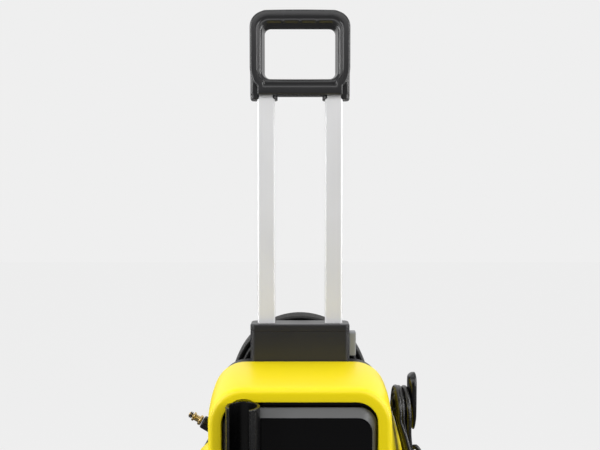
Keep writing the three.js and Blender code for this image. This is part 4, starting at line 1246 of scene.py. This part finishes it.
@dataclass
class FrontFace:
    """What shows inside the hood's arch."""

    hood: Hood
    bevel_side: float = 0.0068
    bevel_top: float = 0.0125
    bevel_deep: float = 0.009
    plinth_drop: float = 0.0082
    tube_wall: float = 0.004
    slot_from: float = -150.0
    slot_to: float = -63.0
    knob_radius: float = 0.027
    bezel_radius: float = 0.034

    def arch(self, side_in: float, top_in: float, radius: float, y: float, bottom: float) -> list[Point]:
        """One closed ring of the panel."""
        half, top = self.hood.arch_half - side_in, self.hood.arch_top - top_in
        side = [(half, bottom), *arc(half - radius, top - radius, radius, 0, 90, 14)]
        return [(x, y, z) for x, z in side] + [(-x, y, z) for x, z in reversed(side)]

    def tube_gap(self) -> Piece:
        """The space that the lance holder takes."""
        return rod("gap", self.hood.tube_radius, 0.05, 0.45, (*self.hood.tube, 0), steps=72)

    def panel(self) -> None:
        """The gloss panel on its plinth."""
        low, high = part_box("front_panel")
        corner = self.hood.arch_corner
        back, front, run = high.y, low.y, self.bevel_deep
        seat = back - 0.004
        rings = [
            self.arch(0.0003, 0.0003, corner, back, low.z),
            self.arch(0.0003, 0.0003, corner, seat + 0.0006, low.z),
            self.arch(0.0010, 0.0009, corner, seat, low.z),
            self.arch(0.0012, self.plinth_drop - 0.001, corner - 0.006, seat + 0.0002, low.z),
            self.arch(0.0014, self.plinth_drop - 0.0004, corner - 0.006, front + run + 0.0006, low.z),
        ]
        seat = front + run
        for share in (0.0, 0.06, 0.5, 0.9):
            side_in = 0.0015 + self.bevel_side * share
            top_in = self.plinth_drop + self.bevel_top * share
            radius = corner - 0.006 - 0.004 * share
            rings.append(self.arch(side_in, top_in, radius, seat - run * share, low.z))
        for share in (0.25, 0.5, 0.75, 1.0):
            angle = share * math.pi / 2
            grow = 0.0013 * math.sin(angle) + 0.0008 * share
            rings.append(self.arch(0.0015 + self.bevel_side * 0.9 + grow,
                                   self.plinth_drop + self.bevel_top * 0.9 + grow, corner - 0.010,
                                   seat - run * (0.9 + 0.1 * math.sin(angle)), low.z))
        panel = skin("gloss_front", rings)
        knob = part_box("switch_knob")
        hole = rod("hole", 0.008, front - 0.02, back + 0.02, (0, 0, middle(*knob)[2]), Plane.FRONT)
        shade(carve(panel, self.tube_gap(), hole), 30)
        settle(panel, "root", GLOSS, "front_panel")

    def bevel_sheen_strip(self) -> None:
        """A mid-grey strip laid on the panel's bevel: a painted reflection of the front softbox."""
        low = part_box("front_panel")[0]
        run, corner = self.bevel_deep, self.hood.arch_corner
        seat = low.y + run
        rings = []
        for share, lift in ((0.04, 0.0), (0.06, 0.00025), (0.5, 0.0003), (0.94, 0.00025), (0.96, 0.0),
                            (0.5, -0.001)):
            side_in = 0.0015 + self.bevel_side * share - lift
            top_in = self.plinth_drop + self.bevel_top * share - lift
            radius = corner - 0.006 - 0.004 * share
            rings.append(self.arch(side_in, top_in, radius, seat - run * share - lift, low.z + 0.0005))
        sheen_strip = skin("bevel_sheen_strip", [list(row) for row in zip(*rings)])
        settle(shade(carve(sheen_strip, self.tube_gap()), 40), "root", BEVEL_SHEEN)

    def lance_holder(self) -> None:
        """The open tube that the lance stands in."""
        low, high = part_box("lance_holder")
        x, y = self.hood.tube
        radius = (high.x - low.x) / 2
        start, end = self.slot_to, self.slot_from + 360
        outline = [*arc(x, y, radius, start, end, 84), *arc(x, y, radius - self.tube_wall, end, start, 84)]
        floor = 0.130
        wall = pull("lance_tube", outline, 0.124, high.z, Plane.TOP)
        soften(wall, 0.0011, 3, 40)
        foot = turn("foot", [(0, low.z), (radius - 0.0001, low.z), (radius - 0.0001, floor - 0.001),
                             (radius - 0.001, floor), (0, floor)], (x, y, 0), steps=90)
        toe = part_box("base_tray")
        slope = [(toe[0].y - 0.03, 0.0), (self.hood.front + 0.03, 0.0), (self.hood.front + 0.03, 0.1183),
                 (self.hood.front - 0.002, 0.1186), (toe[0].y - 0.03, 0.0326)]
        under = pull("under", slope, -0.2, 0.2, Plane.SIDE)
        holder = join(wall, foot)
        shade(carve(holder, under), 40)
        settle(holder, "root", TUBE, "lance_holder")

    def knob(self) -> None:
        """The fluted turning knob with its grip and pointer."""
        low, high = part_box("switch_knob")
        z, face = middle(low, high)[2], low.y
        radius = self.knob_radius - 0.0002
        knob = turn("power_dial", [
            (0, face + 0.0110), (radius - 0.0025, face + 0.0110), (radius - 0.0008, face + 0.0116),
            (radius, face + 0.0132), (radius, high.y - 0.0195), (0, high.y - 0.0195),
        ], (0, 0, z), Plane.FRONT, 72)
        stem = rod("stem", 0.005, face + 0.012, high.y, (0, 0, z), Plane.FRONT, 24)
        grip = pull("grip", rounded(-0.0058, 0.0058, z - radius + 0.0022, z + radius - 0.0022, 0.0045),
                    face + 0.0002, face + 0.0125, Plane.FRONT)
        soften(grip, 0.0018, 3, 50)
        pointer = block("pointer", (-0.0008, face - 0.001, z + 0.012),
                        (0.0008, face + 0.0010, z + radius - 0.004))
        carve(knob, *flutes(24, radius + 0.0004, 0.0011, (face, face + 0.02), (0, 0, z), Plane.FRONT,
                            10, 0.5))
        join(knob, grip, stem)
        carve(knob, pointer)
        settle(shade(knob, 35), "switch", DIAL, "switch_knob")

    def bezel(self) -> None:
        """The ring round the knob, with a mark for each of its two settings."""
        low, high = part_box("switch_bezel")
        z = middle(*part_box("switch_knob"))[2]
        radius = self.bezel_radius - 0.0001
        inner = self.knob_radius + 0.001
        bezel = turn("dial_bezel", [
            (inner, high.y), (radius, high.y), (radius, low.y + 0.0035), (radius - 0.0012, low.y + 0.0012),
            (radius - 0.0030, low.y + 0.0002), (inner + 0.0016, low.y + 0.0002),
            (inner + 0.0004, low.y + 0.0007), (inner, low.y + 0.0018),
        ], (0, 0, z), Plane.FRONT, 96)
        marks = []
        for angle in (90, 0):
            way = math.radians(angle)
            place = (0.0308 * math.cos(way), 0, z + 0.0308 * math.sin(way))
            marks.append(rod("mark", 0.0011, low.y - 0.001, low.y + 0.0007, place, Plane.FRONT, 16))
        settle(shade(carve(bezel, *marks), 35), "root", HOUSING, "switch_bezel")

    def build(self) -> None:
        """Make the panel, the tube and the switch."""
        self.panel()
        # The grey strip on the panel's bevel is a painted reflection of the front softbox.
        self.bevel_sheen_strip()
        self.lance_holder()
        self.knob()
        self.bezel()


# ---- Column, rods and release button ----------------------------------------------------------------


@dataclass
class Column:
    """The column that the handle's two rods slide in."""

    corner: float = 0.0078
    slide: float = 0.0004
    rod_round: float = 0.003

    def channel(self, node: str, low: float, high: float) -> Piece:
        """A space for one rod."""
        a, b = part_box(node)
        g = self.slide
        return pull("channel", rounded(a.x - g, b.x + g, a.y - g, b.y + g, self.rod_round, 5), low, high,
                    Plane.TOP)

    def body(self) -> None:
        """The column, with its button pocket and the moulding lines on its back."""
        low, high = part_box("handle_column")
        outline = rounded(low.x, high.x, low.y, high.y, self.corner, 9)
        body = pull("column", outline, low.z, high.z, Plane.TOP)
        soften(body, 0.0005, 2, 60)
        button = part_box("release_button")
        g = self.slide
        pocket = block("pocket", (button[0].x - 0.0045 - g, button[0].y - g, button[0].z - g),
                       (high.x + 0.01, button[1].y + g, button[1].z + g))
        tools = [self.channel(f"rod_{side}", 0.0, 0.6) for side in ("left", "right")] + [pocket]
        for x in (-0.030, -0.010, 0.010, 0.030):
            tools.append(pull("flute", rounded(x - 0.0035, x + 0.0035, 0.10, 0.40, 0.0034, 5),
                              high.y - 0.0012, high.y + 0.004, Plane.FRONT))
        settle(shade(carve(body, *tools), 40), "root", COLUMN, "handle_column")

    def cap(self) -> None:
        """The cap that guides the rods."""
        low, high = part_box("column_cap")
        rings = []
        for inset, z in ((0.0003, low.z), (0.0, low.z + 0.0004), (0.0, high.z - 0.0022),
                         (0.0003, high.z - 0.0011), (0.0010, high.z - 0.0003), (0.0020, high.z)):
            flat = rounded(low.x + inset, high.x - inset, low.y + inset, high.y - inset,
                           self.corner - inset, 9)
            rings.append([(x, y, z) for x, y in flat])
        cap = skin("column_top", rings)
        carve(cap, *[self.channel(f"rod_{side}", 0.0, 0.6) for side in ("left", "right")])
        settle(shade(cap, 40), "root", COLUMN, "column_cap")

    def rods(self) -> None:
        """The two drawn aluminium rods."""
        for side in ("left", "right"):
            low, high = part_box(f"rod_{side}")
            outline = rounded(low.x, high.x, low.y, high.y, self.rod_round, 6)
            hollow = rounded(low.x + 0.0016, high.x - 0.0016, low.y + 0.0016, high.y - 0.0016, 0.0015, 6)
            rod = pull(f"slide_rod_{side}", outline, low.z, high.z, Plane.TOP)
            near = low.x if abs(low.x) < abs(high.x) else high.x
            seam = near + math.copysign(0.0016, near)
            tools = [pull("hollow", hollow, low.z - 0.01, high.z + 0.01, Plane.TOP)]
            for y in (low.y, high.y):
                groove = rounded(seam - 0.0006, seam + 0.0006, y - 0.0009, y + 0.0009, 0.0004, 3)
                tools.append(pull("groove", groove, low.z - 0.01, high.z + 0.01, Plane.TOP))
            settle(shade(carve(rod, *tools), 30), "handle", RODS, f"rod_{side}")
        keep(HOUSING, "rod_guide_left", "rod_guide_right")

    def button(self) -> None:
        """The ribbed release button."""
        low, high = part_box("release_button")
        button = pull("release", rounded(low.y, high.y, low.z, high.z, 0.0025, 5), low.x, high.x, Plane.SIDE)
        soften(button, 0.0012, 3, 50)
        grooves = []
        for i in range(5):
            z = low.z + 0.009 + 0.0045 * i
            grooves.append(block("groove", (high.x - 0.0006, low.y + 0.003, z),
                                 (high.x + 0.002, high.y - 0.003, z + 0.0012)))
        settle(shade(carve(button, *grooves), 40), "release", BUTTON, "release_button")
        keep(STEEL, "latch_bar")

    def build(self) -> None:
        """Make the column and what slides in it."""
        self.body()
        self.cap()
        self.rods()
        self.button()


# ---- Handle --------------------------------------------------------------------------------------


@dataclass
class Handle:
    """The two shells of the grip at the top of the rods."""

    rim: float = 0.021
    bar: float = 0.0255
    top_bar: float = 0.0228
    corner: float = 0.024
    hole_corner: float = 0.009
    edge: float = 0.0036
    crown: float = 0.0012
    back_round: float = 0.0085
    draft: float = 0.0026
    ridges: tuple[float, ...] = (-0.024, 0.0, 0.024)

    def __post_init__(self) -> None:
        """Read the shells' places from the frame."""
        self.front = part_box("handle_front_shell")
        self.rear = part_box("handle_rear_shell")

    def hole(self, grow: float = 0.0, steps: int = 6) -> Flat:
        """The hand opening, made larger by a distance."""
        low, high = self.front
        return rounded(low.x + self.rim - grow, high.x - self.rim + grow, low.z + self.bar - grow,
                       high.z - self.top_bar + grow, self.hole_corner + grow, steps)

    def stations(self, neck: float = 0.011) -> list[tuple[tuple[float, float], tuple[float, float]]]:
        """Pairs of points, one on the outer outline and one on the opening, all the way round.

        Args:
            neck: How much narrower the lower end is on each side.
        """
        low, high = self.front
        half, top, base = high.x, high.z, low.z
        foot, r = half - neck, self.corner
        inner_x, inner_low, inner_top = half - self.rim, base + self.bar, top - self.top_bar
        c = self.hole_corner
        # The right half, from the middle of the lower bar to the middle of the top bar.
        outer = [*line((0, base), (foot, base), 16), *line((foot, base), (foot, base + 0.012), 3)]
        curve = []
        for i in range(10):
            t = i / 10
            x = (1 - t) ** 2 * foot + 2 * (1 - t) * t * (half - neck / 28) + t * t * half
            z = (1 - t) ** 2 * (base + 0.012) + 2 * (1 - t) * t * (base + 0.021) + t * t * (base + 0.040)
            curve.append((x, z))
        outer += curve
        outer += line((half, base + 0.040), (half, top - r), 12)
        outer += arc(half - r, top - r, r, 0, 90, 14)[:-1]
        outer += [*line((half - r, top), (0, top), 52), (0, top)]
        inner = [*line((0, inner_low), (inner_x - c, inner_low), 15)]
        inner += arc(inner_x - c, inner_low + c, c, -90, 0, 13)[:-1]
        inner += line((inner_x, inner_low + c), (inner_x, inner_top - c), 13)
        inner += arc(inner_x - c, inner_top - c, c, 0, 90, 14)[:-1]
        inner += [*line((inner_x - c, inner_top), (0, inner_top), 52), (0, inner_top)]
        right = list(zip(outer, inner))
        left = [((-a[0], a[1]), (-b[0], b[1])) for a, b in reversed(right[1:-1])]
        return right + left

    def front_shell(self) -> None:
        """The front shell: a rounded rim, a crease and an inner bead with finger ridges."""
        low, high = self.front
        front, back = low.y, high.y
        # Distance from the outer edge or from the opening, and depth behind the front.
        outer_edge = [(0.0, back), (0.0, front + self.edge)]
        outer_edge += [(d, front + deep) for d, deep in quarter(self.edge)]
        face = [(0.40, front + 0.00005), (0.50, front + 0.0002)]
        crease = [(0.535, front + 0.0012), (0.56, front + 0.0014), (0.585, front + 0.0009)]
        bead = [(0.0070, front + 0.0004), (0.0066, front + 0.0006), (0.0062, front + 0.0010),
                (0.0038, front + 0.0033), (0.0034, front + 0.0039), (0.0031, front + 0.0048)]
        rings = []
        for (ox, oz), (ix, iz) in self.stations():
            span = math.hypot(ix - ox, iz - oz)
            ux, uz = (ix - ox) / span, (iz - oz) / span
            bar_top = high.z - self.top_bar
            on_top = ease(bar_top - 0.001, bar_top, iz) * ease(0.050, 0.045, abs(ix))
            ridge = on_top * sum(math.exp(-(((ix - x) / 0.0016) ** 2)) for x in self.ridges)
            lift = self.crown * (1 - (ox / high.x) ** 2) * ease(high.z - 0.001, high.z, oz) - self.crown
            lift *= ease(high.z - 0.03, high.z, oz)
            ring = []
            for d, y in outer_edge:
                ring.append((ox + ux * d, y, oz + uz * d + lift))
            for share, y in face + crease:
                d = span * share
                ring.append((ox + ux * d, y, oz + uz * d + lift * (1 - share)))
            for d, y in bead:
                out = ridge * 0.0009
                ring.append((ix - ux * (d - out), y - ridge * 0.0010 * ease(front + 0.006, front + 0.001, y),
                             iz - uz * (d - out)))
            ring.append((ix - ux * self.draft, back, iz - uz * self.draft))
            rings.append(ring)
        shell = skin("grip_front", rings, closed=True)
        settle(shade(shell, 50, weighted=False), "handle", HANDLE, "handle_front_shell")

    def rear_shell(self) -> None:
        """The rear shell, rounded to the hand, with its two ears over the rods."""
        low, high = self.rear
        r = self.back_round
        rings = []
        for (ox, oz), (ix, iz) in self.stations(neck=0.0):
            span = math.hypot(ix - ox, iz - oz)
            ux, uz = (ix - ox) / span, (iz - oz) / span
            drop = self.crown * ease(high.z - 0.03, high.z, oz)
            front_r = 0.0058 * (1 - ease(low.z + 0.030, low.z + 0.050, oz)) + 0.0002
            ring = [(front_r * (1 - math.sin(a)), low.y + front_r * (1 - math.cos(a)))
                    for a in (math.radians(22.5 * i) for i in range(5))]
            ring += [(0.0, high.y - r), *((d, high.y - deep) for d, deep in quarter(r))]
            ring += [*((span - d, high.y - deep) for d, deep in reversed(quarter(r))), (span, high.y - r)]
            ring += [(span, low.y + 0.010), (span - self.draft, low.y)]
            rings.append([(ox + ux * d, y, oz + uz * d - drop * (1 - d / span)) for d, y in ring])
        shell = skin("grip_rear", rings, closed=True)
        inside = high.x - 0.040
        for side in (1, -1):
            x0, x1 = sorted((side * inside, side * (high.x - 0.0002)))
            outline = rounded(x0, x1, low.y + 0.0002, high.y - 0.0002, 0.0062, 8)
            ear = pull("ear", outline, low.z, low.z + 0.022, Plane.TOP)
            join(shell, soften(ear, 0.0016, 3, 60))
        sockets = []
        for side in ("left", "right"):
            a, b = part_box(f"rod_{side}")
            outline = rounded(a.x - 0.0003, b.x + 0.0003, a.y - 0.0003, b.y + 0.0003, 0.003, 5)
            sockets.append(pull("socket", outline, low.z - 0.01, b.z + 0.0003, Plane.TOP))
        carve(shell, *sockets)
        settle(shade(shell, 40), "handle", HANDLE, "handle_rear_shell")

    def build(self) -> None:
        """Make both shells."""
        self.front_shell()
        self.rear_shell()


# ---- Base, wheels and feet --------------------------------------------------------------------------


@dataclass
class Undercarriage:
    """The base tray with its axle, wheels and feet."""

    axle: tuple[float, float] = (0.078, 0.075)
    wheel_radius: float = 0.075
    rim_radius: float = 0.060
    treads: int = 40
    toe_drop: float = 0.056
    spokes: int = 5
    column_gap: float = 0.0004

    def tray(self) -> None:
        """The base tray with its sloping toe and moulded lines."""
        low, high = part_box("base_tray")
        hood_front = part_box("front_hood")[0].y
        tray = pull("base", rounded(low.x, high.x, low.y, high.y, 0.022, 10), low.z, high.z, Plane.TOP)
        toe_top = high.z - self.toe_drop
        slope = [(low.y - 0.02, toe_top - 0.020), (hood_front - 0.002, high.z),
                 (hood_front - 0.002, high.z + 0.05), (low.y - 0.02, high.z + 0.05)]
        carve(tray, pull("slope", slope, -0.3, 0.3, Plane.SIDE))
        soften(tray, 0.004, 4, 25)
        ring = rounded(low.x - 0.01, high.x + 0.01, low.y - 0.01, high.y + 0.01, 0.030, 10)
        seam = pull("seam", ring, low.z + 0.0260, low.z + 0.0275, Plane.TOP)
        ring = rounded(low.x + 0.0011, high.x - 0.0011, low.y + 0.0011, high.y - 0.0011, 0.021, 10)
        carve(seam, pull("core", ring, low.z + 0.0150, low.z + 0.0400, Plane.TOP))
        tools = [seam]
        for i in range(3):
            y = low.y + 0.016 + 0.012 * i
            z = toe_top + 0.016 + 0.012 * i
            tools.append(pull("rib", rounded(-0.030, 0.120, y, y + 0.004, 0.0019, 4), z - 0.0048, z + 0.02,
                              Plane.TOP))
        tools.append(pull("under", rounded(low.x + 0.006, high.x - 0.006, 0.067, high.y - 0.005, 0.004, 4),
                          low.z - 0.001, high.z - 0.006, Plane.TOP))
        y, z = self.axle
        tools.append(rod("bore", 0.0053, -0.16, 0.16, (0, y, z), Plane.SIDE, 32))
        foot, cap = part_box("handle_column")
        gap = self.column_gap
        tools.append(block("socket", (foot.x - gap, foot.y - gap, foot.z - gap),
                           (cap.x + gap, cap.y + gap, high.z + 0.01)))
        carve(tray, *tools)
        settle(shade(tray, 35), "root", HOUSING, "base_tray")

    def feet(self) -> None:
        """The two rubber feet."""
        for side in ("left", "right"):
            low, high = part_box(f"foot_{side}")
            x, y, _ = middle(low, high)
            foot = turn(f"rubber_foot_{side}", [
                (0, 0.0), (0.0112, 0.0), (0.0122, 0.0008), (0.0150, 0.0042), (0.0150, 0.0100),
                (0.0144, 0.0104), (0.0144, 0.0116), (0.0150, 0.0120), (0.0150, high.z), (0, high.z),
            ], (x, y, 0))
            settle(shade(foot, 40), "root", RUBBER, f"foot_{side}")

    def tyre(self, side: str) -> None:
        """One tyre with a rounded tread of blocks and two ring grooves."""
        low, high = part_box(f"wheel_tyre_{side}")
        y, z = self.axle
        r, wide = self.wheel_radius, high.x - low.x
        profile = [(self.rim_radius, 0.0), (self.rim_radius + 0.004, 0.0), (self.rim_radius + 0.006, 0.0008),
                   (r - 0.006, 0.0010), (r - 0.0035, 0.0022), (r - 0.0012, 0.0052), (r, 0.0085)]
        shoulder = profile[:]
        for at in (wide * 0.33, wide * 0.67):
            profile += [(r, at - 0.0016), (r - 0.0022, at - 0.0010), (r - 0.0022, at + 0.0010),
                        (r, at + 0.0016)]
        profile += [(radius, wide - at) for radius, at in reversed(shoulder)]
        rings = []
        # Each block of the tread takes up 40 percent of its pitch at full height.
        pattern = ((0.00, 1.0), (0.40, 1.0), (0.50, 0.0), (0.90, 0.0))
        for i in range(self.treads):
            for part, full in pattern:
                angle = math.tau * (i + part) / self.treads
                ring = []
                for radius, at in profile:
                    edge = abs(at - wide / 2) > wide * 0.20
                    drop = 0.0016 * (1 - full) if edge and radius > r - 0.005 else 0.0
                    ring.append((low.x + at, y + (radius - drop) * math.cos(angle),
                                 z + (radius - drop) * math.sin(angle)))
                rings.append(ring)
        tyre = skin(f"tyre_{side}", rings, closed=True)
        settle(shade(tyre, 35, weighted=False), f"wheel_{side}", TYRE, f"wheel_tyre_{side}")

    def hub(self, side: str, sign: int) -> None:
        """One wheel hub with a window between each two spokes."""
        low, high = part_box(f"wheel_hub_{side}")
        y, z = self.axle
        inner, outer = (low.x, high.x) if sign > 0 else (high.x, low.x)
        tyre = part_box(f"wheel_tyre_{side}")
        tyre_in, tyre_out = (tyre[0].x, tyre[1].x) if sign > 0 else (tyre[1].x, tyre[0].x)
        web = (tyre_in + tyre_out) / 2
        rim = self.rim_radius - 0.0003
        s = sign * 0.001
        hub = turn(f"hub_{side}", [
            (0.0054, inner), (0.014, inner), (0.014, web - 3 * s), (rim - 0.006, web - 3 * s),
            (rim - 0.0045, tyre_in + 2 * s), (rim - 0.003, tyre_in + s), (rim, tyre_in + s),
            (rim, tyre_out - 1.4 * s), (rim - 0.0006, tyre_out - s), (rim - 0.0032, tyre_out - s),
            (rim - 0.0042, tyre_out - 2.2 * s), (rim - 0.0075, web + 5 * s), (rim - 0.011, web + 3 * s),
            (0.030, web + 4 * s), (0.0252, web + 8 * s), (0.0240, tyre_out - 3 * s),
            (0.0234, tyre_out - 2 * s),
            (0.0212, tyre_out - 2 * s), (0.0212, outer - 12 * s), (0.0054, web),
        ], (0, y, z), Plane.SIDE, 72)
        windows = []
        for i in range(self.spokes):
            start, gap = 360 * i / self.spokes, 360 / self.spokes
            outline = [*arc(y, z, 0.0475, start + 13, start + gap - 13, 12),
                       *arc(y, z, 0.031, start + gap - 19, start + 19, 8)]
            window = pull("window", outline, web - 0.012, web + 0.014, Plane.SIDE)
            windows.append(soften(window, 0.003, 3, 40))
        carve(hub, *windows)
        soften(hub, 0.0006, 2, 50)
        settle(shade(hub, 40), f"wheel_{side}", HUB, f"wheel_hub_{side}")

    def hub_cap(self, side: str, sign: int) -> None:
        """The turned cap over the middle of a hub."""
        low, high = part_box(f"hub_cap_{side}")
        y, z = self.axle
        s = sign * 0.001
        inside, face = (low.x, high.x) if sign > 0 else (high.x, low.x)
        cap = turn(f"cap_{side}", [
            (0.0175, inside), (0.0198, inside), (0.0198, face - 2.4 * s), (0.0190, face - 1.2 * s),
            (0.0172, face - 0.4 * s), (0.0130, face), (0.0126, face - 0.5 * s), (0.0110, face - 0.6 * s),
            (0.0106, face - 0.1 * s), (0, face - 0.1 * s), (0, face - 2.5 * s), (0.0175, face - 2.6 * s),
        ], (0, y, z), Plane.SIDE, 64)
        settle(shade(cap, 35), f"wheel_{side}", HOUSING, f"hub_cap_{side}")

    def build(self) -> None:
        """Make the tray, feet and wheels."""
        self.tray()
        self.feet()
        for side, sign in (("right", 1), ("left", -1)):
            self.tyre(side)
            self.hub(side, sign)
            self.hub_cap(side, sign)
        keep(STEEL, "axle", "axle_clip_left", "axle_clip_right")


# ---- Water inlet and the drive inside ---------------------------------------------------------------


@dataclass
class WaterInlet:
    """The threaded inlet and the garden hose coupling on it."""

    teeth: int = 10

    def build(self) -> None:
        """Make the inlet and its coupling."""
        low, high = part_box("inlet_fitting")
        x, _, z = middle(low, high)
        inlet = turn("water_inlet", [
            (0.007, low.y), (0.0138, low.y), (0.0138, low.y + 0.0045), (0.0128, low.y + 0.0057),
            (0.0100, low.y + 0.0057), (0.0100, high.y - 0.001), (0.0092, high.y), (0.007, high.y),
        ], (x, 0, z), Plane.FRONT)
        settle(shade(inlet, 35), "root", HOUSING, "inlet_fitting")
        low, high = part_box("inlet_coupling")
        profile = [(0.0103, low.y), (0.0142, low.y), (0.0149, low.y + 0.0008), (0.0149, low.y + 0.018),
                   (0.0142, low.y + 0.020), (0.0122, low.y + 0.0226), (0.0105, low.y + 0.0232),
                   (0.0098, low.y + 0.0240), (0.0098, high.y - 0.0050), (0.0090, high.y - 0.0030),
                   (0.0086, high.y), (0.0062, high.y), (0.0062, low.y + 0.0175), (0.0103, low.y + 0.0175)]
        coupling = turn("inlet_coupler", profile, (x, 0, z), Plane.FRONT, 60)
        carve(coupling, *flutes(self.teeth, 0.0156, 0.0016, (low.y + 0.003, low.y + 0.0165), (x, 0, z),
                                Plane.FRONT))
        settle(shade(soften(coupling, 0.0004, 2, 45), 35), "root", BUTTON, "inlet_coupling")


@dataclass
class Drive:
    """Motor, pump and pipes inside the hood, whose shapes are right as they are."""

    def build(self) -> None:
        """Dress the nodes."""
        keep(LAMINATED, "motor_stator")
        keep(COPPER, "motor_rotor")
        keep(CASTING, "bearing_bottom", "bearing_top", "pump_body", "cylinder_head")
        keep(STEEL, "motor_shaft", "swash_plate", "piston_1", "piston_2", "piston_3")
        keep(HOUSING, "cooling_fan")
        keep(RUBBER, "inlet_pipe", "outlet_pipe")


def main() -> None:
    """Build everything in order."""
    logging.basicConfig(level=logging.INFO, format="%(name)s: %(message)s")
    Studio().build()
    PressureHose().build()
    MainsCable().build()
    hood = Hood()
    hood.build()
    FrontFace(hood).build()
    Column().build()
    Handle().build()
    Undercarriage().build()
    WaterInlet().build()
    Drive().build()


if __name__ == "__main__":
    main()
